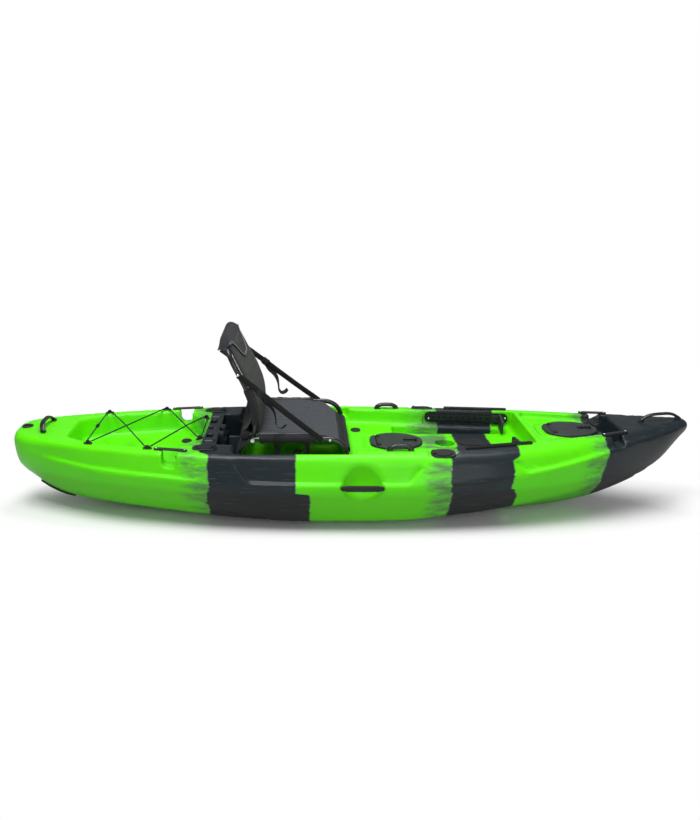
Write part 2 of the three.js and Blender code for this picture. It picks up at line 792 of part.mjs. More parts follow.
// A flat pocket in the port cockpit wall, that the footrest's track is screwed into
function trackPocket(wall = 0) {
  const height = trackHeight + 2 * pocketMargin + 2 * wall + cutOverrun;
  const long = trackLength + 2 * pocketMargin + 2 * wall;
  return block(long, cutOverrun, height)
    .translate([0, pocketDepth + wall - cutOverrun / 2, cutOverrun / 2])
    .rotate([0, 0, degrees(wallTurn)])
    .translate([place("track"), cockpitWall(place("track")), trackMid]);
}

// A facet planed off the port gunwale, under the front rod holder
function rodFacet(wall = 0) {
  const size = rodPlateLength + 2 * pocketMargin + 2 * wall;
  return block(size, rodFacetWidth, cutOverrun)
    .translate([0, 0, cutOverrun / 2 - wall])
    .rotate([-rodRoll, 0, 0])
    .translate([place("frontRod"), rodFacetY, deckAt(place("frontRod")) - rodFacetDrop]);
}

// Where each rod holder stands, how it leans along the hull, and how it rolls outboard
function rodSeats() {
  const rear = place("rearRod");
  const front = place("frontRod");
  return [
    { name: "rear", x: rear, y: breadthOf("rearRod"), z: deckAt(rear) + deckClearance, lean: -1, roll: 0 },
    {
      name: "front", x: front, y: rodFacetY, z: deckAt(front) - rodFacetDrop + fitGap,
      lean: 1, roll: rodRoll,
    },
  ];
}

function seatedRod(body, { x, y, z, lean, roll }) {
  const faced = lean > 0 ? body : body.rotate([0, 0, 180]);
  return faced.rotate([-roll, 0, 0]).translate([x, y, z]);
}

// A rod holder's tube on its own, leaning forward from the origin
function rodTube(diameter, top, depth) {
  return upright(diameter, -depth, top, 14).rotate([0, rodTilt, 0]);
}

function hatchOutline(length, width) {
  const x = length / 2;
  const y = width / 2;
  return roundOutline(mirrored([
    [x, y * 0.4, hatchNose],
    [x * 0.45, y * 0.92, hatchFlank],
    [-x * 0.3, y * 1.04, hatchFlank],
    [-x, y * 0.55, hatchNose],
  ]), 3);
}

const hatches = {
  mid: { x: place("midHatch"), floor: cockpitFloor, length: midHatchLength, width: midHatchWidth },
  bow: { x: place("bowHatch"), floor: bowDeckFloor, length: bowHatchLength, width: bowHatchWidth },
};

const scuppers = [
  { name: "tank", x: place("tankScupper"), y: breadthOf("tankScupper"), floor: tankFloor, plugged: true },
  { name: "seat", x: place("seatScupper"), y: breadthOf("seatScupper"), floor: cockpitFloor, plugged: true },
  { name: "foot", x: place("footScupper"), y: breadthOf("footScupper"), floor: footwellFloor, plugged: false },
];

function sectionRing(x, outline) {
  return outline.map((p) => new THREE.Vector3(x, p.x, p.y));
}

const bothSides = (body) => body.add(body.mirror([0, 1, 0]));

function hull() {
  const stations = stationShares.map((share) => share * halfLength);
  const inside = stations.filter((x) => Math.abs(x) < halfLength - endWall);
  let skin = loft(stations.map((x) => sectionRing(x, hullSection(x))));
  let hollow = loft(inside.map((x) => sectionRing(x, shrunk(hullSection(x), hullWall))));
  for (const { outline, floor, draft, twin } of wellOutlines()) {
    const cut = wellCut(outline, floor, draft);
    const wall = wellCut(outline, floor, draft, hullWall);
    skin = skin.subtract(twin ? bothSides(cut) : cut);
    hollow = hollow.subtract(twin ? bothSides(wall) : wall);
  }
  for (const [name, width, depth] of notches) {
    skin = skin.subtract(notchCut(place(name), width, depth));
    hollow = hollow.subtract(notchCut(place(name), width, depth, hullWall));
  }
  for (const cut of [dishCut, handleSlot, trackPocket, rodFacet]) {
    skin = skin.subtract(bothSides(cut()));
    hollow = hollow.subtract(bothSides(cut(hullWall)));
  }
  const cup = (wall) => upright(cupBore + 2 * wall, cockpitFloor - cupDepth - wall, deckHeight, 24)
    .translate([place("cup"), 0, 0]);
  skin = skin.subtract(cup(0));
  hollow = hollow.subtract(cup(hullWall));
  for (const { x, y } of scuppers) {
    const bore = (wall) => {
      const drill = upright(plugBore + 2 * wall, -cutOverrun, deckHeight, 12);
      return bothSides(drill.translate([x, y, 0]));
    };
    skin = skin.subtract(bore(0));
    hollow = hollow.subtract(bore(hullWall));
  }
  let body = skin.subtract(hollow.simplify(hollowTolerance));
  for (const { x, floor, length, width } of Object.values(hatches)) {
    const room = hatchSpigotWall + fitGap;
    const opening = hatchCore({ length, width }, hatchRimWidth - fitGap, -cutOverrun, cutOverrun, room);
    body = body.subtract(opening.translate([x, 0, floor]));
  }
  for (const seat of rodSeats()) {
    const hole = rodTube(rodBore + 2 * (rodWall + fitGap), cutOverrun, rodDepth);
    body = body.subtract(bothSides(seatedRod(hole, seat)));
  }
  const drain = upright(drainBore, deckHeight - cutOverrun / 2, deckHeight + cutOverrun)
    .translate([place("drain"), 0, 0]);
  const whole = body.subtract(drain).simplify(hullTolerance).decompose();
  return whole.sort((a, b) => b.volume() - a.volume())[0];
}

// An outline extruded both ways from its own plane
function prism(outline, length) {
  const shape = new THREE.Shape(outline);
  const geometry = new THREE.ExtrudeGeometry(shape, { depth: length, bevelEnabled: false });
  geometry.translate(0, 0, -length / 2);
  return solid(geometry);
}

// An arched strap with a foot at each end: its span along X, its base on the origin
function arch(span, rise, width) {
  const s = span / 2;
  const top = s - archFoot - rise;
  const outer = [
    [s, 0, 0], [s, archThick * 0.6, archToe], [s - archFoot, archThick * 0.8, archHeel], [top, rise, archBend],
  ];
  const under = [[top, rise - archThick, archBend], [s - archFoot, 0, 0]];
  const left = (corners) => corners.map(([x, z, radius]) => [-x, z, radius]).reverse();
  const outline = roundOutline([...outer, ...left(outer), ...left(under), ...under], 2);
  return prism(outline, width).rotate([90, 0, 0]);
}

function sideHandle() {
  const outline = plateOutline(sideHandleLength, sideHandleHeight, sideHandleCorner);
  const bar = pad(outline, 0, sideHandleThick, sideHandleEdge).rotate([-90, 0, 0]);
  return bar.translate([place("sideHandle"), halfBeam - sideHandleSeat, sideHandleZ]);
}

// A slotted rail for accessories: its base on the origin
function gunwaleRail() {
  const outline = plateOutline(railLength, railWidth, railWidth / 2);
  const body = pad(outline, 0, railHeight, softEdge);
  const reach = railLength - railWidth;
  const slot = block(reach, railSlot, railHeight).translate([0, 0, railHeight - railLips / 2]);
  const under = block(reach, railSlot + railLips, railLips)
    .translate([0, 0, railHeight / 2 - railLips / 2 + fitGap]);
  return body.subtract(slot).subtract(under);
}

// A pin along Y through the origin between two ears that stand on a lower part
function hingeEars(knuckle, drop) {
  const ears = [];
  for (const side of [-1, 1]) {
    const y = side * (knuckle / 2 + runningGap + earWidth / 2);
    ears.push(crossBar(2 * knuckleRadius, earWidth).translate([0, y, 0]));
    ears.push(block(2 * knuckleRadius, earWidth, drop).translate([0, y, -drop / 2]));
  }
  const pin = crossBar(2 * pinRadius, knuckle + 2 * runningGap + earWidth);
  return joined([...ears, pin]);
}

// The knuckle that turns on that pin, with an arm forward to the lid
function hingeKnuckle(knuckle, reach, thick) {
  const barrel = crossBar(2 * knuckleRadius, knuckle);
  const arm = block(reach, knuckle, thick).translate([reach / 2, 0, 0]);
  return barrel.add(arm).subtract(crossBar(2 * (pinRadius + runningGap), knuckle + cutOverrun));
}

function rodHolder() {
  const outline = plateOutline(rodPlateLength, rodPlateWidth, rodPlateWidth / 2, 3);
  const plate = pad(outline, 0, rodPlateThick, fineEdge);
  const tube = rodTube(rodBore + 2 * rodWall, cutOverrun, rodDepth)
    .trimByPlane([0, 0, -1], joinDepth - rodPlateThick);
  const ears = hingeEars(knuckleWidth, rodPin.z).translate([rodPin.x, 0, rodPin.z]);
  const bore = rodTube(rodBore, cutOverrun, rodDepth - rodWall);
  return joined([plate, tube, ears]).subtract(bore);
}

function rodCap() {
  const bottom = rodPlateThick + runningGap;
  const outline = plateOutline(rodCapLength, rodBore + 2 * rodCapRim, (rodBore + 2 * rodCapRim) / 2, 3);
  const disc = pad(outline, bottom, bottom + rodCapThick, softEdge);
  const reach = -rodPin.x - rodCapLength / 2 + rodCapRim;
  const knuckle = hingeKnuckle(knuckleWidth, reach, rodCapThick).translate([rodPin.x, 0, rodPin.z]);
  const tab = block(rodCapRim * 2, knuckleWidth, rodCapThick - joinDepth)
    .translate([rodCapLength / 2, 0, bottom + rodCapThick / 2]);
  return joined([disc, knuckle, tab]);
}

// The slide that the foot pedal runs on: a plate, a neck and a wider head, along X from the wall
function footrestTrack() {
  const lie = (body) => body.rotate([90, 0, 0]);
  const plate = lie(slab(plateOutline(trackLength, trackHeight, trackHeight / 2, 4), -trackThick, 0));
  const long = trackLength - trackHeight;
  const neck = block(long, trackNeck + joinDepth, trackHead - 2 * trackLip)
    .translate([0, -trackNeck / 2, 0]);
  const head = block(long, trackRail - trackNeck, trackHead).translate([0, -(trackRail + trackNeck) / 2, 0]);
  let body = joined([plate, neck, head]);
  const pitch = long / trackHoles;
  for (let i = 0; i < trackHoles; i += 1) {
    const hole = crossBar(trackHole, cutOverrun, 8);
    body = body.subtract(hole.translate([(i + 0.5) * pitch - long / 2, 0, 0]));
  }
  return body;
}

// The pedal's carriage grips the head of the track, and its plate stands out from it
function footPedal() {
  const gap = runningGap;
  const front = -trackRail - gap;
  const depth = carriageWall + trackRail - trackNeck + 2 * gap + carriageLip;
  const outer = block(carriageLength, depth, carriageHeight)
    .translate([0, front - carriageWall + depth / 2, 0]);
  const room = block(cutOverrun * 2, trackRail - trackNeck + 2 * gap, trackHead + 2 * gap)
    .translate([0, -(trackRail + trackNeck) / 2, 0]);
  const neckRoom = block(cutOverrun * 2, cutOverrun, trackHead - 2 * trackLip + 2 * gap)
    .translate([0, front + gap + cutOverrun / 2, 0]);
  const plate = roundOutline([
    [pedalWidth, pedalHeight * 0.32, pedalToe], [0, pedalHeight * 0.4, pedalHeel],
    [0, -pedalHeight * 0.42, pedalHeel], [pedalWidth, -pedalHeight * 0.5, pedalToe],
  ]);
  const foot = prism(plate, pedalThick).rotate([90, 0, 0]).rotate([0, 0, -90])
    .translate([carriageLength / 2 - pedalThick, front - carriageWall + joinDepth, 0]);
  return outer.subtract(room).subtract(neckRoom).add(foot);
}

function onTrack(body) {
  const x = place("track");
  const wall = cockpitWall(x) + pocketDepth - fitGap - trackThick;
  return body.rotate([0, 0, degrees(wallTurn)]).translate([x, wall, trackMid]);
}

// A hatch's clear shape, drawn in from its outline by a band and kept forward of its hinge
function hatchCore({ length, width }, band, bottom, top, room = 0) {
  const start = hatchStrip - length / 2 + 2 * hingeRoom + hatchSpigotWall - room;
  return slab(shrunk(hatchOutline(length, width), band), bottom, top).trimByPlane([1, 0, 0], start);
}

function hatchRim(hatch) {
  const { length, width } = hatch;
  const outline = hatchOutline(length, width);
  const plate = slab(outline, fitGap, fitGap + hatchRimThick);
  const top = fitGap + hatchRimThick - joinDepth;
  const spigot = hatchCore(hatch, hatchRimWidth, -hatchSpigot, top, hatchSpigotWall);
  const opening = hatchCore(hatch, hatchRimWidth + hatchSpigotWall, -cutOverrun, cutOverrun);
  const strip = pad(outline, top, hatchTop, lidEdge).trimByPlane([-1, 0, 0], length / 2 - hatchStrip);
  const ears = hingeEars(hatchKnuckle, hatchPinZ - top)
    .translate([hatchStrip - length / 2 + hingeRoom, 0, hatchPinZ]);
  return plate.add(spigot).subtract(opening).add(strip).add(ears);
}

function hatchLid(hatch) {
  const { length, width } = hatch;
  const outline = hatchOutline(length, width);
  const bottom = fitGap + hatchRimThick + runningGap;
  const start = hatchStrip - length / 2 + hingeRoom;
  const keep = (body) => body.trimByPlane([1, 0, 0], start + hingeRoom);
  const plate = keep(pad(outline, bottom, hatchTop, lidEdge));
  const inner = shrunk(outline, hatchCrownBand);
  const crown = keep(pad(inner, hatchTop - joinDepth, hatchTop + hatchCrown, hatchCrown));
  const plugBand = hatchRimWidth + hatchSpigotWall + hatchPlugGap;
  const plug = hatchCore(hatch, plugBand, bottom - hatchPlug, bottom + joinDepth, -hatchPlugGap);
  const knuckle = hingeKnuckle(hatchKnuckle, 2 * hingeRoom, hatchLidThick - hatchRimThick)
    .translate([start, 0, hatchPinZ]);
  const bore = upright(latchShaft + 2 * runningGap, -cutOverrun, cutOverrun, 12)
    .translate([length / 2 - latchInset, 0, 0]);
  return joined([plate, crown, plug, knuckle]).subtract(bore);
}

// The latch turns in the lid: a lever above, a shaft through, and a cam below
function hatchLatch({ length }) {
  const top = hatchTop + hatchCrown + runningGap;
  const lever = pad(plateOutline(latchLength, latchWidth, latchWidth / 2), top, top + latchHeight, knobEdge)
    .translate([-latchLength / 2 + latchWidth / 2, 0, 0]);
  const low = fitGap + hatchRimThick + runningGap - hatchPlug - runningGap;
  const shaft = upright(latchShaft, low - joinDepth, top + joinDepth, 12);
  const cam = upright(2 * latchShaft, low - camThick, low, 12);
  return joined([lever, shaft, cam]).translate([length / 2 - latchInset, 0, 0]);
}

function bungeeHook() {
  const base = pad(plateOutline(hookLength, hookWidth, hookWidth / 2, 2), 0, hookBase, fineEdge);
  const neck = upright(hookNeck, hookBase - joinDepth, hookBase + hookRoom + joinDepth, 8);
  const head = upright(hookHead, hookBase + hookRoom, hookBase + hookRoom + hookHeadThick, 10);
  return joined([base, neck, head]);
}

// Hook places on the port side, with the way each one's base lies
function hookSeats() {
  const seats = [];
  for (const name of ["rear", "middle"]) {
    const x = place(`${name}Hook`);
    const { z } = deckSeat(x, hookLength / 2);
    seats.push({ name, x, y: breadthAt("crestY", x) - hookInset, z, turn: crestTurn(x, hookLength / 2) });
  }
  const x = place("frontHook");
  seats.push({ name: "front", x, y: breadthOf("frontHook"), z: deckSeat(x, hookLength / 2).z, turn: frontHookTurn });
  return seats;
}

// The cord's way round the hooks: rear pair, then zigzag forward, then back
function cordRoute() {
  const [rear, mid, front] = hookSeats().map(({ x, y, z }) => {
    return new THREE.Vector3(x, y, z + hookBase + cordDiameter / 2 + fitGap);
  });
  const near = (p) => new THREE.Vector3(p.x, -p.y, p.z);
  const ring = [rear, near(mid), front, near(front), mid, near(rear)];
  const radius = hookNeck / 2 + cordDiameter / 2 + fitGap;
  const points = [];
  ring.forEach((here, i) => {
    const before = ring[(i + ring.length - 1) % ring.length].clone().sub(here).normalize();
    const after = ring[(i + 1) % ring.length].clone().sub(here).normalize();
    const away = before.clone().add(after).multiplyScalar(-1).normalize();
    const aside = new THREE.Vector3(-away.y, away.x, 0);
    const sign = Math.sign(aside.dot(before));
    const tangent = Math.acos(away.dot(before)) - Math.PI / 2;
    for (const share of [1, 0.5, 0, -0.5, -1]) {
      const turn = tangent * share * sign;
      points.push(here.clone()
        .addScaledVector(away, radius * Math.cos(turn))
        .addScaledVector(aside, radius * Math.sin(turn)));
    }
    if (i > 1) return;
    const crossing = here.clone().lerp(ring[i + 1], here.y / (here.y - ring[i + 1].y));
    crossing.z += cordLift;
    points.push(crossing);
  });
  const lock = points.at(-1).clone().add(points[0]).multiplyScalar(0.5);
  const along = points[0].clone().sub(points.at(-1)).normalize();
  const start = lock.clone().addScaledVector(along, cordEndGap);
  const end = lock.clone().addScaledVector(along, -cordEndGap);
  return { route: [start, ...points, end], lock, along };
}

function cordLock() {
  const { lock, along } = cordRoute();
  const turn = degrees(Math.atan2(-along.x, along.y));
  return crossBar(lockDiameter, lockLength)
    .subtract(crossBar(cordDiameter + 2 * fitGap, cutOverrun, 12))
    .rotate([0, 0, turn]).translate([lock.x, lock.y, lock.z]);
}

function scupperPlug() {
  const head = pad(plateOutline(plugHead, plugHead, plugHead / 2, 3), fitGap, fitGap + plugHeadThick, roundEdge);
  return head.add(upright(plugBore - plugSlack, -plugStem, fitGap + joinDepth, 12));
}

function drainPlug() {
  const head = pad(plateOutline(drainHead, drainHead, drainHead / 2, 4), 0, plugHeadThick, roundEdge);
  const grip = block(drainHead * 0.6, archThick * 0.7, plugHeadThick).translate([0, 0, plugHeadThick]);
  return joined([head, grip, upright(drainBore - plugSlack, -drainStem, joinDepth, 12)]);
}

// A plate that hugs the hull's keel at the stern
function skidPlate() {
  const middle = place("skid");
  const stations = [];
  for (let i = -1; i < skidSteps + 2; i += 1) stations.push(middle + skidLength * (i / skidSteps - 0.5));
  const shell = (by) => loft(stations.map((x) => sectionRing(x, grown(hullSection(x), by))));
  const low = heightAt("keel", middle - skidLength / 2) + skidThick;
  const frame = block(skidLength, skidWidth, 2 * low).translate([middle, 0, 0]);
  return shell(skidThick).intersect(frame).subtract(hullNear(stations));
}

// The hull's outside near some stations, with the fitting gap all round
function hullNear(stations) {
  return loft(stations.map((x) => sectionRing(x, grown(hullSection(x), 2 * fitGap))));
}

const consolePlate = () => pad(roundOutline([
  [consolePlateLength / 2, consolePlateWidth / 2, consoleCorner],
  [-consolePlateLength * 0.3, consolePlateWidth / 2, consoleNose],
  [-consolePlateLength / 2, consolePlateWidth * 0.2, consoleNose],
  [-consolePlateLength / 2, -consolePlateWidth * 0.2, consoleNose],
  [-consolePlateLength * 0.3, -consolePlateWidth / 2, consoleNose],
  [consolePlateLength / 2, -consolePlateWidth / 2, consoleCorner],
], 2), 0, consolePlateThick, fineEdge);

// The middle line of a seat side loop: two quarter bends and the rail between them
function loopRoute() {
  const points = [];
  const steps = 6;
  const rise = railHeightZ - crossHeight;
  for (let i = 0; i <= steps; i += 1) {
    const turn = (Math.PI * i) / steps / 2;
    const x = loopRear + loopBend * (1 - Math.cos(turn));
    points.push(new THREE.Vector3(x, loopHalf, crossHeight + rise * Math.sin(turn)));
  }
  for (let i = steps; i >= 0; i -= 1) {
    const turn = (Math.PI * i) / steps / 2;
    const x = loopFront - loopBend * (1 - Math.cos(turn));
    points.push(new THREE.Vector3(x, loopHalf, crossHeight + rise * Math.sin(turn)));
  }
  return points;
}

function seatSideLoop() {
  let body = rod(loopRoute(), seatTube);
  for (const x of [loopRear, loopFront]) {
    const saddle = crossBar(crossTube + 2 * fitGap, cutOverrun * 2, 16);
    body = body.subtract(saddle.translate([x, loopHalf, crossHeight]));
  }
  const hole = crossBar(2 * (boltRadius + fitGap), cutOverrun * 2)
    .translate([backPivotX, loopHalf, backPivotZ]);
  return body.subtract(hole).decompose().sort((a, b) => b.volume() - a.volume())[0];
}

// A cross tube under the side loops, with a rubber foot on each end
function seatCrossTube() {
  const bar = crossBar(crossTube, 2 * crossHalf);
  const caps = [-1, 1].map((side) => crossBar(capDiameter, capLength, 14)
    .translate([0, side * (crossHalf - capLength / 2), 0]));
  return joined([bar, ...caps]);
}

// The middle line of the back hoop, from its port pivot up and over to starboard
function hoopRoute() {
  const port = backLine.map(({ z, x }) => new THREE.Vector3(x, backHalf, z));
  const low = port.at(-1);
  const up = new THREE.Vector3(backTopX - low.x, 0, backTopZ - low.z);
  const reach = up.length() - backTopCorner;
  up.normalize();
  const steps = 6;
  for (let i = 0; i <= steps; i += 1) {
    const turn = (Math.PI * i) / steps / 2;
    const out = backHalf - backTopCorner * (1 - Math.cos(turn));
    const rise = reach + backTopCorner * Math.sin(turn);
    port.push(new THREE.Vector3(low.x + up.x * rise, out, low.z + up.z * rise));
  }
  const starboard = port.map((p) => new THREE.Vector3(p.x, -p.y, p.z)).reverse();
  return [...port, ...starboard];
}

function backFrame() {
  const hoop = rod(hoopRoute(), seatTube);
  const hole = crossBar(2 * (boltRadius + fitGap), 2 * loopHalf);
  return hoop.subtract(hole.translate([backPivotX, 0, backPivotZ]));
}

function seatBolt() {
  const inner = backHalf - seatTube / 2 - fitGap;
  const outer = loopHalf + seatTube / 2 + fitGap;
  const length = outer - inner;
  const shaft = crossBar(2 * boltRadius, length + 2 * joinDepth).translate([0, (inner + outer) / 2, 0]);
  const heads = [inner - boltHeadThick / 2, outer + boltHeadThick / 2]
    .map((y) => crossBar(2 * boltHead, boltHeadThick, 6).translate([0, y, 0]));
  return joined([shaft, ...heads]).translate([backPivotX, 0, backPivotZ]);
}

// The two sides of a line of points, a thickness apart, as one closed outline
function ribbon(line, thick) {
  const sides = line.map((p, i) => {
    const before = line[Math.max(i - 1, 0)];
    const after = line[Math.min(i + 1, line.length - 1)];
    const along = after.clone().sub(before).normalize();
    return new THREE.Vector2(-along.y, along.x).multiplyScalar(thick / 2);
  });
  const left = line.map((p, i) => p.clone().add(sides[i]));
  const right = line.map((p, i) => p.clone().sub(sides[i]));
  return [...left, ...right.reverse()];
}

// The seat fabric's section: round the port rail, sagging across, and round the starboard rail
function slingLine(sag) {
  const wrap = seatTube / 2 + 2 * fitGap + slingThick / 2;
  const port = [];
  const turns = 8;
  for (let i = 0; i <= turns; i += 1) {
    const turn = radians(-145 + (235 * i) / turns);
    port.push(new THREE.Vector2(loopHalf + wrap * Math.cos(turn), railHeightZ + wrap * Math.sin(turn)));
  }
  const across = [];
  for (let i = -3; i <= 3; i += 1) {
    const y = (-i / 4) * loopHalf;
    across.push(new THREE.Vector2(y, railHeightZ + wrap - sag * (1 - (y / loopHalf) ** 2)));
  }
  const starboard = port.map((p) => new THREE.Vector2(-p.x, p.y)).reverse();
  return [...port, ...across, ...starboard];
}

// A sheet of fabric across the hull, from rows of {x, z, half width, bulge} along its middle
function sheet(rows, thick, columns = 6) {
  const outlines = [];
  const rings = rows.map((row, i) => {
    const before = rows[Math.max(i - 1, 0)];
    const after = rows[Math.min(i + 1, rows.length - 1)];
    const along = new THREE.Vector2(after.x - before.x, after.z - before.z).normalize();
    const out = new THREE.Vector2(along.y, -along.x);
    const line = [];
    for (let c = 0; c <= columns; c += 1) {
      const share = (2 * c) / columns - 1;
      line.push(new THREE.Vector2(share * row.half, row.bulge * (1 - share * share)));
    }
    const outline = ribbon(line, thick);
    outlines.push(outline);
    return outline.map((p) => new THREE.Vector3(row.x + out.x * p.y, p.x, row.z + out.y * p.y));
  });
  return loft(rings, [outlines[0], outlines.at(-1)]);
}

// The front of the seat fabric, forward of the rails, dropping to the cross tube
const apronRows = [
  { x: slingFront - apronOverlap, fall: 4.7, half: loopHalf - 29, sag: 0.8 },
  { x: loopFront - 89, fall: 9, half: loopHalf - 29, sag: 0.75 },
  { x: loopFront - 59, fall: 26, half: loopHalf - 39, sag: 0.4 },
  { x: loopFront - 30, fall: 46, half: loopHalf - 51, sag: 0.1 },
];

// The back fabric's half width and forward bulge at each place of the back's line
const backPanelRows = [
  { half: backHalf - 2, bulge: 6 }, { half: backHalf, bulge: 10 }, { half: backHalf, bulge: 13 },
  { half: backHalf, bulge: 13 }, { half: backHalf, bulge: 12 }, { half: backHalf, bulge: 11 },
  { half: backHalf - 16, bulge: 9 }, { half: backHalf - 16, bulge: 6 },
];

function seatSling() {
  const places = [[slingRear, 0.7], [(slingRear + slingFront) / 2, 1], [slingFront, 0.85]];
  const outlines = places.map(([, share]) => ribbon(slingLine(slingSag * share), slingThick));
  const rings = places.map(([x], i) => sectionRing(x, outlines[i]));
  const pan = loft(rings, [outlines[0], outlines.at(-1)]);
  const wrap = crossTube / 2 + 3 * fitGap + slingThick / 2;
  const top = railHeightZ + seatTube / 2 + fitGap + slingThick / 2;
  const front = slingSag * 0.85;
  const rows = apronRows.map(({ x, fall, half, sag }) => ({ x, z: top - fall, half, bulge: front * sag }));
  for (const turn of [130, 100, 70, 40, 10, -20, -50]) {
    const x = loopFront + wrap * Math.cos(radians(turn));
    rows.push({ x, z: crossHeight + wrap * Math.sin(radians(turn)), half: apronRows.at(-1).half, bulge: 0 });
  }
  return pan.add(sheet(rows, slingThick));
}

function rearRoll() {
  const length = 2 * (loopHalf - seatTube / 2 - fitGap + rollReach);
  return crossBar(rollDiameter, length, 14).translate([place("roll"), 0, railHeightZ + rollRise]);
}

// The outline of the hoop's top, grown by a margin, from the height where the hood ends
function hoodOutline(margin, bottom) {
  const rise = Math.hypot(backTopX - backLine.at(-1).x, backTopZ - backLine.at(-1).z);
  const port = [new THREE.Vector2(backHalf + margin, bottom)];
  const steps = 6;
  for (let i = 0; i <= steps; i += 1) {
    const turn = (Math.PI * i) / steps / 2;
    const reach = backTopCorner + margin;
    const y = backHalf - backTopCorner + reach * Math.cos(turn);
    const up = rise - backTopCorner + reach * Math.sin(turn);
    if (up > bottom + leastReach) port.push(new THREE.Vector2(y, up));
  }
  return [...port, ...port.map((p) => new THREE.Vector2(-p.x, p.y)).reverse()];
}

function backSling() {
  const tube = seatTube / 2 + fitGap;
  const low = backLine.at(-1);
  const lean = Math.atan2(low.x - backTopX, backTopZ - low.z);
  const stand = (body) => body.rotate([90, 0, 90]).rotate([0, -degrees(lean), 0])
    .translate([low.x, 0, low.z]);
  const cover = prism(hoodOutline(tube + hoodThick, hoodBottom), 2 * (tube + hoodThick));
  const room = prism(hoodOutline(tube, 0), 2 * tube);
  const hood = stand(cover.subtract(room));
  const edge = tube + backPanelThick / 2;
  const rows = backLine.slice(1).map(({ x, z }, i) => {
    const { half, bulge } = backPanelRows[i];
    return { x, z, half, bulge };
  });
  rows.push({
    x: low.x + (backTopX - low.x) * 0.5, z: low.z + (backTopZ - low.z) * 0.5,
    half: rows.at(-1).half, bulge: 0,
  });
  const panel = sheet(offsetRows(rows, edge), backPanelThick);
  const sleeveLine = backLine.filter(({ z }) => z >= sleeveLow && z <= sleeveTop);
  const line = sleeveLine.map(({ x, z }) => new THREE.Vector3(x, backHalf, z));
  const below = line[0].clone().lerp(line[1], -0.2);
  const above = line.at(-1).clone().lerp(line.at(-2), -0.2);
  const longer = [below, ...line.slice(1, -1), above];
  const sleeve = rod(line, 2 * (tube + hoodThick)).subtract(rod(longer, 2 * tube));
  return joined([hood, panel, bothSides(sleeve)]);
}

// Rows moved forward, square to the line through them
function offsetRows(rows, by) {
  return rows.map((row, i) => {
    const before = rows[Math.max(i - 1, 0)];
    const after = rows[Math.min(i + 1, rows.length - 1)];
    const along = new THREE.Vector2(after.x - before.x, after.z - before.z).normalize();
    return { ...row, x: row.x + along.y * by, z: row.z - along.x * by };
  });
}

// A webbing collar round a tube, between two points on the tube's middle line
function collar(from, to, tube) {
  const outer = rod([from, to], 2 * (tube + strapThick));
  const beyond = [from.clone().lerp(to, -0.5), from.clone().lerp(to, 1.5)];
  return outer.subtract(rod(beyond, 2 * tube));
}

// A back strap: a collar on the hoop, webbing forward and down past a buckle, a collar on the rail
function backStrap() {
  const tube = seatTube / 2 + fitGap;
  const [under, over] = backLine.slice(-2);
  const along = new THREE.Vector3(over.x - under.x, 0, over.z - under.z).normalize();
  const share = (strapTopZ - under.z) / (over.z - under.z);
  const top = new THREE.Vector3(under.x + (over.x - under.x) * share, backHalf, strapTopZ);
  const half = strapWidth / 2;
  const onHoop = (by) => top.clone().addScaledVector(along, by);
  const upper = collar(onHoop(-half), onHoop(half), tube);
  const foot = new THREE.Vector3(place("strapFoot"), loopHalf, railHeightZ);
  const ahead = new THREE.Vector3(half, 0, 0);
  const lower = collar(foot.clone().sub(ahead), foot.clone().add(ahead), tube);
  const side = tube + strapThick / 2;
  const start = top.clone().setY(backHalf + side);
  const end = foot.clone().setY(loopHalf + side);
  const turn = end.clone().lerp(start, strapTurn).setY(end.y);
  const webbing = strip([start, turn, end], strapThick, strapWidth);
  const middle = start.clone().lerp(turn, buckleAt);
  const fall = degrees(Math.atan2(start.z - end.z, end.x - start.x));
  const buckle = block(buckleLength, buckleThick, strapWidth + 2 * buckleMargin)
    .rotate([0, fall, 0]).translate([middle.x, middle.y, middle.z]);
  const tail = strip(strapTail.map(({ x, z }) => new THREE.Vector3(x, middle.y, z)), strapWidth, strapThick);
  return joined([upper, lower, webbing, buckle, tail]);
}

// A webbing tie from a side rail down to a foot on the ledge
function seatTie() {
  const tube = seatTube / 2 + slingThick + tieRoom;
  const half = new THREE.Vector3(strapWidth / 2, 0, 0);
  const tieX = place("tie");
  const middle = new THREE.Vector3(tieX, loopHalf, railHeightZ);
  const band = collar(middle.clone().sub(half), middle.clone().add(half), tube);
  const low = ledgeFloor + fitGap;
  const height = railHeightZ - tube - low;
  const drop = block(strapWidth, strapThick, height).translate([tieX, loopHalf, low + height / 2 - joinDepth]);
  const foot = slab(plateOutline(tieFootLength, tieFootWidth, 4), low, low + tieFootThick);
  const outside = band.trimByPlane([0, 1, 0], loopHalf);
  return joined([outside, drop.trimByPlane([0, 0, 1], low), foot.translate([tieX, loopHalf, 0])]);
}

const group = new THREE.Group();
const finishes = {
  hull: { color: 0x58d800, roughness: 0.42 },
  black: { color: 0x17181a, roughness: 0.5 },
  grey: { color: 0x3b3d42, roughness: 0.62 },
  tube: { color: 0x141416, roughness: 0.35, metalness: 0.6 },
  fabric: { color: 0x46484d, roughness: 0.9 },
  webbing: { color: 0x1c1d1f, roughness: 0.85 },
  rubber: { color: 0x1d1d1e, roughness: 0.8 },
  steel: { color: 0xb4b6ba, roughness: 0.3, metalness: 0.9 },
};

function add(name, body, finish) {
  const part = body.simplify(cleanTolerance).getMesh();
  const geometry = new THREE.BufferGeometry();
  geometry.setAttribute("position", new THREE.Float32BufferAttribute(part.vertProperties, 3));
  geometry.setIndex(Array.from(part.triVerts));
  geometry.computeVertexNormals();
  const mesh = new THREE.Mesh(geometry, new THREE.MeshStandardMaterial(finishes[finish]));
  mesh.name = name;
  group.add(mesh);
}

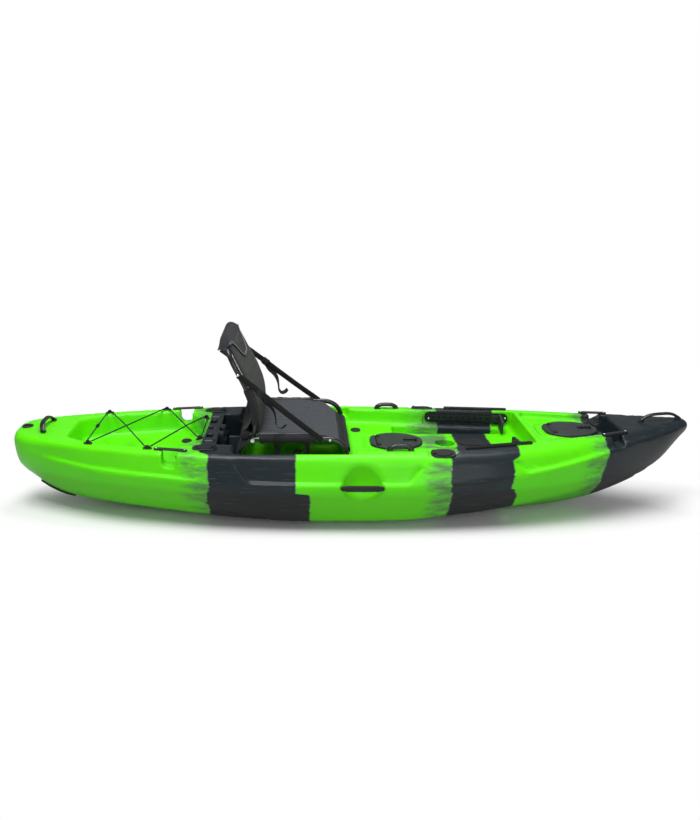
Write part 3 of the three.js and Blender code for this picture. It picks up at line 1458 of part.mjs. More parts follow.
function addPair(name, body, finish) {
  add(`${name}_port`, body, finish);
  add(`${name}_starboard`, body.mirror([0, 1, 0]), finish);
}

add("hull", hull(), "hull");

const sternX = place("sternHandle");
const bowX = place("bowHandle");
const bowSeat = deckSeat(bowX, bowHandleSpan / 2);
add("stern_handle", arch(sternHandleSpan, sternHandleRise, sternHandleWidth)
  .rotate([0, 0, 90]).translate([sternX, 0, deckSeat(sternX, sternHandleWidth / 2).z]), "black");
add("bow_handle", arch(bowHandleSpan, bowHandleRise, bowHandleWidth)
  .rotate([0, -bowSeat.slope, 0]).translate([bowX, 0, bowSeat.z]), "black");
addPair("side_handle", sideHandle(), "black");
const grip = arch(gripSpan, gripRise, gripWidth);
addPair("grip_handle", onGunwale(grip, place("grip"), gripInset, gripSpan), "black");

const tieBar = (length) => {
  const outline = plateOutline(length, tieBarWidth, tieBarWidth / 2, 2);
  return pad(outline, 0, tieBarThick, roundEdge);
};
const barAt = (name, length, inset) => onGunwale(tieBar(length), place(name), inset, length);
addPair("stern_bar", barAt("sternBar", sternBarLength, sternBarInset), "black");
addPair("bow_bar", barAt("bowBar", bowBarLength, bowBarInset), "black");
addPair("gunwale_rail", onGunwale(gunwaleRail(), place("rail"), railInset, railLength), "black");

for (const seat of rodSeats()) {
  addPair(`rod_holder_${seat.name}`, seatedRod(rodHolder(), seat), "black");
  addPair(`rod_cap_${seat.name}`, seatedRod(rodCap(), seat), "rubber");
}

addPair("footrest_track", onTrack(footrestTrack()), "black");
addPair("foot_pedal", onTrack(footPedal().translate([place("pedal") - place("track"), 0, 0])), "grey");

for (const [name, hatch] of Object.entries(hatches)) {
  const set = (body) => body.translate([hatch.x, 0, hatch.floor]);
  add(`${name}_hatch_rim`, set(hatchRim(hatch)), "black");
  add(`${name}_hatch_lid`, set(hatchLid(hatch)), "grey");
  add(`${name}_hatch_latch`, set(hatchLatch(hatch)), "black");
}

add("console_plate", consolePlate().translate([place("console"), 0, cockpitFloor + fitGap]), "black");
const drainX = place("drain");
add("drain_plug", drainPlug().translate([drainX, 0, deckAt(drainX) + deckClearance]), "black");
for (const { name, x, y, floor, plugged } of scuppers) {
  if (plugged) addPair(`scupper_plug_${name}`, scupperPlug().translate([x, y, floor]), "rubber");
}

for (const { name, x, y, z, turn } of hookSeats()) {
  addPair(`bungee_hook_${name}`, bungeeHook().rotate([0, 0, turn]).translate([x, y, z]), "black");
}
add("bungee_cord", rod(cordRoute().route, cordDiameter, 6), "webbing");
add("cord_lock", cordLock(), "black");
add("skid_plate", skidPlate(), "rubber");

addPair("seat_side_loop", seatSideLoop(), "tube");
add("seat_front_tube", seatCrossTube().translate([loopFront, 0, crossHeight]), "tube");
add("seat_rear_tube", seatCrossTube().translate([loopRear, 0, crossHeight]), "tube");
add("seat_sling", seatSling(), "fabric");
add("seat_rear_roll", rearRoll(), "fabric");
add("back_frame", backFrame(), "tube");
add("back_sling", backSling(), "fabric");
addPair("back_strap", backStrap(), "webbing");
addPair("seat_pivot_bolt", seatBolt(), "steel");
addPair("seat_tie", seatTie(), "webbing");

export default group;
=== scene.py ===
"""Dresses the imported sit-on-top fishing kayak in Blender.

Every length is in metres in the part's frame: +X to the bow, +Y to port, +Z up.
"""

from __future__ import annotations

import json
import logging
import math
from collections.abc import Callable, Sequence
from dataclasses import dataclass, field
from enum import Enum
from functools import reduce

import bmesh
import bpy
import numpy as np
import openvdb
from mathutils import Matrix, Vector

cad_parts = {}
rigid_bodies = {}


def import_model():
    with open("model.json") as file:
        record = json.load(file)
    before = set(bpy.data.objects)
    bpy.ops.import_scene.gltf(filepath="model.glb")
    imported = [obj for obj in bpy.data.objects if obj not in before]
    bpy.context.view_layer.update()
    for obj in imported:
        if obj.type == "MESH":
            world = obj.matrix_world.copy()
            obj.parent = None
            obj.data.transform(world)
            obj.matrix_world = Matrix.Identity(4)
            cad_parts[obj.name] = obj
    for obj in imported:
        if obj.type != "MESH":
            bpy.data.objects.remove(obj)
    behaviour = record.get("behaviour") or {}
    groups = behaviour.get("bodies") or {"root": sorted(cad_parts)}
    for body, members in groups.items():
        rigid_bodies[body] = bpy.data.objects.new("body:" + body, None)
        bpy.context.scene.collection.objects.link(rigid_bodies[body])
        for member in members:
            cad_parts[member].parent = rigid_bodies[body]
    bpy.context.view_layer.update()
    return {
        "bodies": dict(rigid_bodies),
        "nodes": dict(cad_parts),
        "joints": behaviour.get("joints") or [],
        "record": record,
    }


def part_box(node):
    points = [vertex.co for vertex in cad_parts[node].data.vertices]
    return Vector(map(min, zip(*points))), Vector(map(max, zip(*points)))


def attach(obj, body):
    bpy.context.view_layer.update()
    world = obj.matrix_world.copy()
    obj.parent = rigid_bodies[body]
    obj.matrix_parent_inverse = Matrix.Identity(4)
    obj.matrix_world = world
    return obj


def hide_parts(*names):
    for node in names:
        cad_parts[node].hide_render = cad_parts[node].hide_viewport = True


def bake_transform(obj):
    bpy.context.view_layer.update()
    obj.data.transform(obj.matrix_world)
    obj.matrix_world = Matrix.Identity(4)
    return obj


log = logging.getLogger("kayak")

Point = tuple[float, float, float]
Rgb = tuple[float, float, float]
Corner = tuple[float, float, float]

ROOT = "hull_and_fittings"
BACK = "seat_back"
COLOR_MIX_INPUTS = (0, 6, 7)


class Side(Enum):
    """The two sides of the boat, with the sign of Y on each."""

    PORT = ("port", 1.0)
    STARBOARD = ("starboard", -1.0)

    @property
    def label(self) -> str:
        """The word at the end of a node's name."""
        return self.value[0]

    @property
    def sign(self) -> float:
        """The sign of Y on this side."""
        return self.value[1]


def linked(name: str, data):
    """Makes an object of some data and links it to the scene."""
    obj = bpy.data.objects.new(name, data)
    bpy.context.scene.collection.objects.link(obj)
    return obj


def from_bmesh(name: str, work, materials: Sequence):
    """Makes an object of a bmesh, which is freed, with some materials."""
    mesh = bpy.data.meshes.new(name)
    work.to_mesh(mesh)
    work.free()
    for material in materials:
        mesh.materials.append(material)
    return linked(name, mesh)


def mesh_object(name: str, verts: Sequence, faces: Sequence, material=None, smooth: bool = True):
    """Makes a mesh object from points and faces.

    Args:
        name: The object's name.
        verts: Points in the part's frame.
        faces: Tuples of point indices, seen anticlockwise from outside.
        material: The material for every face.
        smooth: Whether the faces are shaded smooth.

    Returns:
        The new object, linked to the scene.
    """
    mesh = bpy.data.meshes.new(name)
    mesh.from_pydata([tuple(map(float, v)) for v in verts], [], [tuple(map(int, f)) for f in faces])
    mesh.update()
    if smooth:
        mesh.shade_smooth()
    if material is not None:
        mesh.materials.append(material)
    return linked(name, mesh)


def baked(obj) -> None:
    """Applies every modifier on an object by replacing its mesh.

    Args:
        obj: The object whose modifiers are applied.
    """
    depsgraph = bpy.context.evaluated_depsgraph_get()
    mesh = bpy.data.meshes.new_from_object(obj.evaluated_get(depsgraph), depsgraph=depsgraph)
    obj.modifiers.clear()
    obj.data = mesh


def outward(obj, weld: float = 0.0) -> None:
    """Turns a closed object's faces so that their normals point out.

    Args:
        obj: The object.
        weld: Points nearer to each other than this are made one first.
    """
    work = bmesh.new()
    work.from_mesh(obj.data)
    if weld:
        bmesh.ops.remove_doubles(work, verts=work.verts, dist=weld)
    bmesh.ops.recalc_face_normals(work, faces=work.faces)
    work.to_mesh(obj.data)
    work.free()


def joined(name: str, objects: Sequence):
    """Joins several mesh objects into one.

    Args:
        name: The name of the joined object.
        objects: The objects, which are removed.

    Returns:
        The joined object.
    """
    work = bmesh.new()
    materials: list = []
    for obj in objects:
        index = []
        for material in obj.data.materials:
            if material not in materials:
                materials.append(material)
            index.append(materials.index(material))
        start = len(work.faces)
        work.from_mesh(obj.data)
        work.faces.ensure_lookup_table()
        for face in work.faces[start:]:
            face.material_index = index[face.material_index] if index else 0
    for obj in objects:
        bpy.data.objects.remove(obj)
    return from_bmesh(name, work, materials)


def lengths_along(path: np.ndarray) -> np.ndarray:
    """The length of a path up to each of its points."""
    return np.concatenate([[0], np.cumsum(np.linalg.norm(np.diff(path, axis=0), axis=1))])


def smooth_path(points: Sequence[Point], count: int, closed: bool = False) -> np.ndarray:
    """Runs a Catmull-Rom curve through points, at even steps of length.

    Args:
        points: The points that the curve goes through.
        count: How many points the result has.
        closed: Whether the curve comes back to its start.

    Returns:
        An array of points along the curve.
    """
    p = np.asarray(points, float)
    ends = (p[-1:], p[:1], p[1:2]) if closed else (2 * p[:1] - p[1:2], 2 * p[-1:] - p[-2:-1])
    q = np.concatenate([ends[0], p, *ends[1:]])
    fine = []
    for i in range(len(q) - 3):
        t = np.linspace(0, 1, 24, endpoint=False)[:, None]
        a, b, c, d = q[i], q[i + 1], q[i + 2], q[i + 3]
        fine.append(0.5 * (2 * b + (c - a) * t + (2 * a - 5 * b + 4 * c - d) * t**2
                           + (3 * b - a - 3 * c + d) * t**3))
    fine = np.concatenate([*fine, q[-2:-1] if not closed else p[:1]])
    lengths = lengths_along(fine)
    at = np.linspace(0, lengths[-1], count + (1 if closed else 0))
    out = np.stack([np.interp(at, lengths, fine[:, k]) for k in range(fine.shape[1])], 1)
    return out[:count]


def frames_along(path: np.ndarray, up: Point = (0, 0, 1), closed: bool = False):
    """Finds a pair of axes across a path at each of its points, without twist.

    Args:
        path: Points along the path.
        up: The direction the first axis leans to at the start.
        closed: Whether the path comes back to its start.

    Returns:
        The across and up axes at each point.
    """
    if closed:
        tangents = np.roll(path, -1, 0) - np.roll(path, 1, 0)
    else:
        tangents = np.gradient(path, axis=0)
    tangents /= np.linalg.norm(tangents, axis=1)[:, None]
    axis = np.array(up, float)
    ups, sides = [], []
    for tangent in tangents:
        axis = axis - tangent * (axis @ tangent)
        axis /= np.linalg.norm(axis)
        ups.append(axis.copy())
        sides.append(np.cross(tangent, axis))
    return np.array(sides), np.array(ups)


def tube(name: str, points: Sequence[Point], radius: float, material, sides: int = 24,
         count: int = 0, closed: bool = False, up: Point = (0, 0, 1), ends: float = 0.35):
    """Sweeps a round tube along points, with softly rounded ends.

    Args:
        name: The object's name.
        points: The middle line; smoothed when count is given.
        radius: The tube's radius.
        material: The material.
        sides: How many sides the tube has.
        count: How many rings, or 0 for one at each point.
        closed: Whether the tube is a ring.
        up: A direction that isn't along the tube's start.
        ends: How far the ends round off, as a share of the radius.

    Returns:
        The tube's object.
    """
    path = smooth_path(points, count, closed) if count else np.asarray(points, float)
    return profile_sweep(name, path, circle(radius, sides), material, closed, up, ends * radius)


def circle(radius: float, sides: int) -> np.ndarray:
    """The corners of a circle, anticlockwise."""
    turns = np.arange(sides) * 2 * math.pi / sides
    return np.stack([np.cos(turns), np.sin(turns)], 1) * radius


def squared_oval(half: float, tall: float, powers: tuple[float, float], sides: int) -> np.ndarray:
    """The corners of an oval that is squared off, anticlockwise.

    Args:
        half: Half its width.
        tall: Half its height.
        powers: Its shape across and up: 1 for a plain oval, less for a squarer one.
        sides: How many corners it has.

    Returns:
        An array of corners.
    """
    ways = circle(1.0, sides)
    return np.sign(ways) * np.abs(ways) ** powers * (half, tall)


def profile_sweep(name: str, path: np.ndarray, profile: np.ndarray, material,
                  closed: bool = False, up: Point = (0, 0, 1), edge: float = 0.0,
                  twist: np.ndarray | None = None, turn: float = 0.0):
    """Sweeps a closed outline along a path.

    Args:
        name: The object's name.
        path: Points along the path.
        profile: The outline's (across, up) corners, anticlockwise seen against the path.
        material: The material.
        closed: Whether the path comes back to its start.
        up: A direction that isn't along the path's start.
        edge: How far the ends round off.
        twist: Each point's turn about the path, in radians, or None.
        turn: A turn about the path for every point, in radians.

    Returns:
        The swept object.
    """
    sides, ups = frames_along(path, up, closed)
    angle = (np.full(len(path), turn) + (0 if twist is None else twist))[:, None]
    sides, ups = (sides * np.cos(angle) + ups * np.sin(angle), ups * np.cos(angle) - sides * np.sin(angle))
    rings = [path[i] + profile[:, :1] * sides[i] + profile[:, 1:] * ups[i] for i in range(len(path))]
    if not closed and edge > 0:
        size = np.abs(profile).max()
        for at, way in ((0, -1), (len(path) - 1, 1)):
            on = path[at] - path[at - way]
            on = on / np.linalg.norm(on)
            extra = []
            for a in np.radians((45, 80)):
                shrink = 1 - (1 - math.cos(a)) * edge / size
                extra.append(path[at] + on * (math.sin(a) - 1) * edge
                             + (rings[at] - path[at]) * shrink)
            shift = rings[at] - on * edge
            if way < 0:
                rings[at] = shift
                rings = [extra[1], extra[0], *rings]
            else:
                rings[-1] = shift
                rings = [*rings, extra[0], extra[1]]
    verts = np.concatenate(rings)
    n, m = len(profile), len(rings)
    faces = []
    for i in range(m if closed else m - 1):
        j = (i + 1) % m
        for k in range(n):
            q = (k + 1) % n
            faces.append((i * n + k, i * n + q, j * n + q, j * n + k))
    if not closed:
        faces.append(tuple(reversed(range(n))))
        faces.append(tuple((m - 1) * n + k for k in range(n)))
    obj = mesh_object(name, verts, faces, material)
    outward(obj)
    along, around = lengths_along(np.array([ring.mean(0) for ring in rings])), lengths_along(profile)
    set_uv(obj, np.stack([np.tile(around, m), np.repeat(along, n)], 1))
    return obj


def set_uv(obj, places: np.ndarray) -> None:
    """Gives an object UVs, in metres along its own surface.

    Args:
        obj: The object.
        places: One pair of coordinates for each point of the mesh.
    """
    layer = obj.data.uv_layers.new(name="UVMap")
    index = np.empty(len(obj.data.loops), np.int32)
    obj.data.loops.foreach_get("vertex_index", index)
    layer.data.foreach_set("uv", places[index].astype(np.float32).ravel())


def run_along(grid: np.ndarray, axis: int) -> np.ndarray:
    """Measures the way along each line of a grid.

    Args:
        grid: The points, in rows and columns.
        axis: 0 to go down the rows, 1 to go across them.

    Returns:
        The length from the first point of the line to each of its points.
    """
    steps = np.linalg.norm(np.diff(grid, axis=axis), axis=2)
    start = np.zeros_like(np.take(steps, [0], axis=axis))
    return np.concatenate([start, np.cumsum(steps, axis)], axis)


def full_near_end(distance: np.ndarray, reach: float, least: float) -> np.ndarray:
    """How full a rounded form is: the least at its end, and 1 from the reach on."""
    near = np.clip(distance / reach, 0, 1)
    return least + (1 - least) * np.sqrt(1 - (1 - near) ** 2)


def shell_faces(rows: int, cols: int) -> tuple[list, int]:
    """The faces of a front sheet, the back sheet behind it and the rim between them.

    Args:
        rows: How many rows of points each sheet has.
        cols: How many columns.

    Returns:
        The faces, with the rim's last, and how many faces the rim has.
    """
    index = np.arange(rows * cols).reshape(rows, cols)
    a, b, c, d = index[:-1, :-1], index[1:, :-1], index[1:, 1:], index[:-1, 1:]
    front = np.stack([a, b, c, d], -1).reshape(-1, 4).tolist()
    back = (np.stack([a, d, c, b], -1).reshape(-1, 4) + rows * cols).tolist()
    ring = [*index[0, :], *index[1:, -1], *index[-1, -2::-1], *index[-2:0:-1, 0]]
    rim = [(p, q, q + rows * cols, p + rows * cols) for p, q in zip(ring, [*ring[1:], ring[0]])]
    return [*front, *back, *rim], len(ring)


def slab(name: str, grid: np.ndarray, thick, material, relief=0.0, edge: float = 0.006):
    """Makes a closed sheet of some thickness round a grid of points, with soft edges.

    Args:
        name: The object's name.
        grid: The points, in rows and columns; the front is where rows turn to columns anticlockwise.
        thick: The thickness, as a number or one for each point.
        material: The material.
        relief: How far the front stands out, as a number or one for each point.
        edge: How far in from the border the sheet thins down.

    Returns:
        The sheet's object.
    """
    rows, cols = grid.shape[:2]
    normal = np.cross(np.gradient(grid, axis=0), np.gradient(grid, axis=1))
    normal /= np.maximum(np.linalg.norm(normal, axis=2), 1e-12)[..., None]
    down, across = run_along(grid, 0), run_along(grid, 1)
    border = np.minimum(np.minimum(down, down[-1:] - down), np.minimum(across, across[:, -1:] - across))
    near = 1 - np.clip(border / edge, 0, 1)
    half = 0.5 * np.broadcast_to(thick, (rows, cols)) * (0.3 + 0.7 * np.sqrt(1 - near**2))
    lift = np.broadcast_to(relief, (rows, cols)) * (1 - near)
    front = grid + normal * (half + lift)[..., None]
    back = grid - normal * half[..., None]
    verts = np.concatenate([front.reshape(-1, 3), back.reshape(-1, 3)])
    obj = mesh_object(name, verts, shell_faces(rows, cols)[0], material)
    outward(obj)
    set_uv(obj, np.tile(np.stack([across.ravel(), down.ravel()], 1), (2, 1)))
    return obj


def lathe(name: str, profile: Sequence[tuple[float, float]], sides: int, material=None):
    """Turns a profile round the Z axis.

    Args:
        name: The object's name.
        profile: (radius, height) from the bottom's middle to the top's middle.
        sides: How many sides the turning has.
        material: The material.

    Returns:
        The turned object.
    """
    rings = [(r, z) for r, z in profile if r > 0]
    verts = [(0, 0, profile[0][1])]
    for r, z in rings:
        verts += [(*(circle(1.0, sides)[k] * r), z) for k in range(sides)]
    verts.append((0, 0, profile[-1][1]))
    faces = []
    for k in range(sides):
        q = (k + 1) % sides
        faces.append((0, 1 + q, 1 + k))
        for i in range(len(rings) - 1):
            low, high = 1 + i * sides, 1 + (i + 1) * sides
            faces.append((low + k, low + q, high + q, high + k))
        last = 1 + (len(rings) - 1) * sides
        faces.append((last + k, last + q, len(verts) - 1))
    return mesh_object(name, verts, faces, material)


def rounded_box(name: str, size: Point, radius: float, material, place: Matrix | None = None):
    """Makes a box with rounded edges.

    Args:
        name: The object's name.
        size: Its length along X, Y and Z.
        radius: How far the rounding reaches.
        material: The material.
        place: Where it is, or None for the origin.

    Returns:
        The box's object.
    """
    work = bmesh.new()
    bmesh.ops.create_cube(work, size=1.0, matrix=Matrix.Diagonal((*size, 1.0)))
    bmesh.ops.bevel(work, geom=work.edges[:], offset=radius, segments=3, affect="EDGES", profile=0.5)
    if place is not None:
        bmesh.ops.transform(work, matrix=place, verts=work.verts)
    obj = from_bmesh(name, work, [material])
    obj.data.shade_smooth()
    return obj


def turn_to(way: Point) -> Point:
    """The turns about X, Y and Z, in radians, that take +Z to a direction."""
    return tuple(Vector(way).to_track_quat("Z", "Y").to_euler())


def hold(obj, node: str | None, body: str = ROOT) -> None:
    """Sets what a piece stands for and rides on.

    Args:
        obj: The piece.
        node: The CAD node that it stands for, if any.
        body: The body that it rides on.
    """
    if node:
        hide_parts(node)
    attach(obj, body)
    log.info("%s: %d faces", obj.name, len(obj.data.polygons))


class Nodes:
    """A small builder for one node tree."""

    def __init__(self, tree) -> None:
        """Keeps the tree that nodes are added to.

        Args:
            tree: A node tree.
        """
        self.tree = tree

    def feed(self, socket, value) -> None:
        """Links an input socket, or sets its value.

        Args:
            socket: The input socket.
            value: An output socket, a number, a vector, or a colour's three numbers.
        """
        if isinstance(value, bpy.types.NodeSocket):
            self.tree.links.new(value, socket)
        elif socket.type == "RGBA":
            socket.default_value = (*value, 1.0)
        else:
            socket.default_value = value

    def set(self, node, **values) -> None:
        """Sets a node's fields or feeds its input sockets.

        Args:
            node: The node.
            **values: Fields of the node, or input sockets by name with underscores.
        """
        for key, value in values.items():
            if hasattr(node, key):
                setattr(node, key, value)
            else:
                self.feed(node.inputs[key.replace("_", " ")], value)

    def add(self, kind: str, **values):
        """Adds a node.

        Args:
            kind: The node's type name.
            **values: What set() takes.

        Returns:
            The node.
        """
        node = self.tree.nodes.new(kind)
        self.set(node, **values)
        return node

    def math(self, operation: str, a, b=0.0, clamp: bool = False):
        """Adds a maths node.

        Args:
            operation: The node's operation.
            a: A socket or a number.
            b: A socket or a number.
            clamp: Whether the result is kept from 0 to 1.

        Returns:
            The result's socket.
        """
        node = self.add("ShaderNodeMath", operation=operation, use_clamp=clamp)
        for socket, value in zip(node.inputs, (a, b)):
            self.feed(socket, value)
        return node.outputs[0]

    def plus(self, a, b, clamp: bool = False):
        """Adds two sockets or numbers."""
        return self.math("ADD", a, b, clamp)

    def minus(self, a, b):
        """Takes the second socket or number from the first."""
        return self.math("SUBTRACT", a, b)

    def times(self, a, b, clamp: bool = False):
        """Multiplies two sockets or numbers."""
        return self.math("MULTIPLY", a, b, clamp)

    def largest(self, values: Sequence):
        """Finds the largest of several sockets."""
        return reduce(lambda a, b: self.math("MAXIMUM", a, b), values)

    def step(self, value, low: float, high: float):
        """Rises smoothly from 0 to 1 as a socket's value goes from low to high."""
        return self.add("ShaderNodeMapRange", interpolation_type="SMOOTHSTEP", Value=value,
                        From_Min=low, From_Max=high).outputs["Result"]

    def coords(self, kind: str = "Object"):
        """Reads the surface's Object or UV coordinates."""
        return self.add("ShaderNodeTexCoord").outputs[kind]

    def split(self, vector):
        """Splits coordinates into X, Y and Z."""
        return self.add("ShaderNodeSeparateXYZ", Vector=vector).outputs

    def noise(self, vector, scale, detail: float = 3.0, rough: float = 0.55):
        """Adds a noise texture.

        Args:
            vector: The coordinates' socket.
            scale: The texture's scale, as a number or a socket.
            detail: How many octaves it has.
            rough: How strong the finer octaves are.

        Returns:
            The noise value's socket.
        """
        return self.add("ShaderNodeTexNoise", Vector=vector, Scale=scale, Detail=detail,
                        Roughness=rough).outputs["Fac"]

    def streaks(self, vector, stretch: Point, scale: float, detail: float, rough: float):
        """Adds a noise texture that is stretched along the axes.

        Args:
            vector: The coordinates' socket.
            stretch: How finely the noise runs along each axis.
            scale: The texture's scale.
            detail: How many octaves it has.
            rough: How strong the finer octaves are.

        Returns:
            The noise value's socket.
        """
        return self.noise(self.add("ShaderNodeMapping", Vector=vector, Scale=stretch).outputs["Vector"],
                          scale, detail, rough)

    def mix(self, factor, a, b):
        """Mixes two colours.

        Args:
            factor: A socket or a number from 0 to 1.
            a: The first colour or its socket.
            b: The second colour or its socket.

        Returns:
            The mixed colour's socket.
        """
        node = self.add("ShaderNodeMix", data_type="RGBA")
        for index, value in zip(COLOR_MIX_INPUTS, (factor, a, b)):
            self.feed(node.inputs[index], value)
        return node.outputs[2]

    def blend(self, factor, a, b):
        """Mixes two shader nodes."""
        node = self.add("ShaderNodeMixShader")
        for socket, value in zip(node.inputs, (factor, a.outputs[0], b.outputs[0])):
            self.feed(socket, value)
        return node.outputs[0]

    def bump(self, strength: float, distance, height):
        """Turns a height into a bumped normal."""
        return self.add("ShaderNodeBump", Strength=strength, Distance=distance,
                        Height=height).outputs["Normal"]


class Scatter:
    """Repeats a small form at many places with Geometry Nodes."""

    def __init__(self) -> None:
        """Makes the node group."""
        tree = bpy.data.node_groups.new("Scatter", "GeometryNodeTree")
        face = tree.interface
        face.new_socket("Geometry", in_out="INPUT", socket_type="NodeSocketGeometry")
        self.stamp = face.new_socket("Stamp", in_out="INPUT", socket_type="NodeSocketObject").identifier
        self.finish = face.new_socket("Finish", in_out="INPUT",
                                      socket_type="NodeSocketMaterial").identifier
        face.new_socket("Geometry", in_out="OUTPUT", socket_type="NodeSocketGeometry")
        n = Nodes(tree)
        start = n.add("NodeGroupInput").outputs
        form = n.add("GeometryNodeObjectInfo", Object=start["Stamp"]).outputs["Geometry"]
        turn = n.add("GeometryNodeInputNamedAttribute", data_type="FLOAT_VECTOR", Name="turn")
        put = n.add("GeometryNodeInstanceOnPoints", Points=start["Geometry"], Instance=form,
                    Rotation=turn.outputs["Attribute"])
        real = n.add("GeometryNodeRealizeInstances", Geometry=put.outputs["Instances"])
        paint = n.add("GeometryNodeSetMaterial", Geometry=real.outputs[0], Material=start["Finish"])
        n.feed(n.add("NodeGroupOutput").inputs[0], paint.outputs[0])
        self.tree = tree

    def __call__(self, name: str, stamp, places: Sequence[Point], turns: Sequence[Point], material):
        """Repeats a form.

        Args:
            name: The object's name.
            stamp: The form, which is removed afterwards.
            places: Where each copy goes.
            turns: Each copy's turns about X, Y and Z, in radians.
            material: The material.

        Returns:
            One plain mesh with every copy.
        """
        obj = mesh_object(name, places, [])
        turned = obj.data.attributes.new("turn", "FLOAT_VECTOR", "POINT")
        turned.data.foreach_set("vector", np.asarray(turns, np.float32).ravel())
        modifier = obj.modifiers.new("scatter", "NODES")
        modifier.node_group = self.tree
        modifier[self.stamp] = stamp
        modifier[self.finish] = material
        baked(obj)
        obj.data.name = name
        obj.data.shade_smooth()
        bpy.data.objects.remove(stamp)
        return obj


def shader_group(name: str, inputs: Sequence[str], fill: Callable[[Nodes, dict], dict]):
    """Makes a shader node group.

    Args:
        name: The group's name.
        inputs: The name of each number that goes in.
        fill: Takes the builder and the input sockets, and gives the sockets that come out by name.

    Returns:
        The node group.
    """
    tree = bpy.data.node_groups.new(name, "ShaderNodeTree")
    for label in inputs:
        tree.interface.new_socket(label, in_out="INPUT", socket_type="NodeSocketFloat")
    n = Nodes(tree)
    results = fill(n, n.add("NodeGroupInput").outputs)
    for label in results:
        kind = "NodeSocketVector" if label == "Normal" else "NodeSocketFloat"
        tree.interface.new_socket(label, in_out="OUTPUT", socket_type=kind)
    n.add("NodeGroupOutput", **results)
    return tree


def grain(n: Nodes, given) -> dict:
    """The fine pebbled skin of moulded plastic, with faint scuffs.

    Args:
        n: The group's builder.
        given: The Grain and Depth sockets.

    Returns:
        The sockets that come out.
    """
    coords = n.coords()
    fine = n.noise(coords, given["Grain"], 2.0, 0.5)
    wave = n.noise(coords, 14.0, 2.0)
    scuff = n.streaks(coords, (9.0, 60.0, 160.0), 1.0, 6.0, 0.7)
    normal = n.bump(0.5, given["Depth"], n.plus(fine, n.times(wave, 2.0)))
    return {"Normal": normal, "Value": wave, "Scuff": n.step(scuff, 0.56, 0.72)}


def weave(n: Nodes, given) -> dict:
    """A plain weave across the axes that a cloth lies along.

    Args:
        n: The group's builder.
        given: The Grain and Depth sockets.

    Returns:
        The sockets that come out.
    """
    across, along = (n.math("SINE", n.times(way, given["Grain"])) for way in n.split(n.coords("UV"))[:2])
    ribs = n.math("MAXIMUM", n.math("ABSOLUTE", across), n.math("ABSOLUTE", along))
    height = n.plus(n.times(n.times(across, along), 0.5), ribs)
    fuzz = n.noise(n.coords(), 60.0, 5.0, 0.65)
    normal = n.bump(0.6, given["Depth"], n.plus(height, n.times(fuzz, 0.6)))
    return {"Normal": normal, "Value": n.times(height, 0.5, clamp=True), "Fuzz": fuzz}


@dataclass(frozen=True)
class Finish:
    """One surface finish."""

    color: Rgb
    roughness: float
    metallic: float = 0.0
    grain: float = 900.0
    depth: float = 0.0002
    spread: float = 0.12
    scuff: float = 0.08
    sheen: float = 0.0
    shine: float = 0.3


FINISHES = {
    "fitting": Finish((0.012, 0.013, 0.015), 0.42),
    "lid": Finish((0.023, 0.028, 0.029), 0.5, grain=1400.0, depth=0.0004),
    "frame": Finish((0.006, 0.006, 0.007), 0.22, grain=500.0, depth=0.00008, scuff=0.03, shine=0.6),
    "rubber": Finish((0.012, 0.012, 0.013), 0.68, grain=1600.0, depth=0.0003),
    "steel": Finish((0.62, 0.62, 0.61), 0.30, metallic=1.0, grain=700.0, depth=0.00005),
    # Black for the lid's hinge clips; also painted shade in the lid's finger holes, the screws' slots and the
    # hood's open lower edge
    "dark": Finish((0.009, 0.009, 0.010), 0.6),
    "screw": Finish((0.72, 0.73, 0.74), 0.33, metallic=0.6, grain=900.0, depth=0.00005),
    "stitch": Finish((0.42, 0.43, 0.45), 0.8, grain=2500.0, depth=0.0003),
}
CLOTHS = {
    "fabric": Finish((0.044, 0.048, 0.054), 0.86, grain=5200.0, depth=0.0005, sheen=0.05),
    "hood": Finish((0.017, 0.017, 0.021), 0.84, grain=6200.0, depth=0.0005, sheen=0.05),
    "webbing": Finish((0.010, 0.010, 0.011), 0.78, grain=3600.0, depth=0.0006, sheen=0.03),
    "panel": Finish((0.032, 0.034, 0.031), 0.86, grain=5200.0, depth=0.0005, sheen=0.05),
    "hem": Finish((0.011, 0.011, 0.013), 0.72, grain=5200.0, depth=0.0004, sheen=0.03),
    "piping": Finish((0.13, 0.13, 0.14), 0.75, grain=4200.0, depth=0.0004, sheen=0.1),
    "cord": Finish((0.012, 0.020, 0.014), 0.70, grain=2800.0, depth=0.0004, sheen=0.05),
}


GREEN_DEEP = (0.078, 0.60, 0.0)
GREEN_LIT = (0.105, 0.74, 0.0)
# Painted shade: the green's darker colour for the lower hull, which faces down, away from the lamps
GREEN_UNDERSIDE_SHADE = (0.085, 0.45, 0.002)
SLATE_DEEP = (0.010, 0.015, 0.019)
SLATE_PALE = (0.013, 0.020, 0.025)
# Painted shade: the slate's darker colour for the lower hull, which faces down, away from the lamps
SLATE_UNDERSIDE_SHADE = (0.009, 0.009, 0.009)
SMEAR = (0.075, 0.110, 0.070)
CHALK = (0.42, 0.50, 0.36)
WHITE = (1.0, 1.0, 1.0)
# Where the slate bands take their side shape: from this far out, or this far round the bilge
OUTBOARD = (0.298, 0.320)
BILGE_TURN = (0.86, 0.93)
BILGE_TOP = 0.300
# Below this height the bands take their low shape, and within this breadth their centre shape
LOW_TOP = 0.213
CENTRE_HALF = 0.175
BAND_SOFTNESS = 0.005
SMEAR_RUN = 0.08
# Places where the slate is dragged out along the hull, and how far: start, end
SMEARS = ((-0.820, -0.610), (0.230, 0.365), (0.930, 1.085))


def shaded(color: Rgb, scale: float, add: float = 0.0) -> Rgb:
    """Makes a colour darker or paler."""
    return tuple(min(1.0, c * scale + add) for c in color)


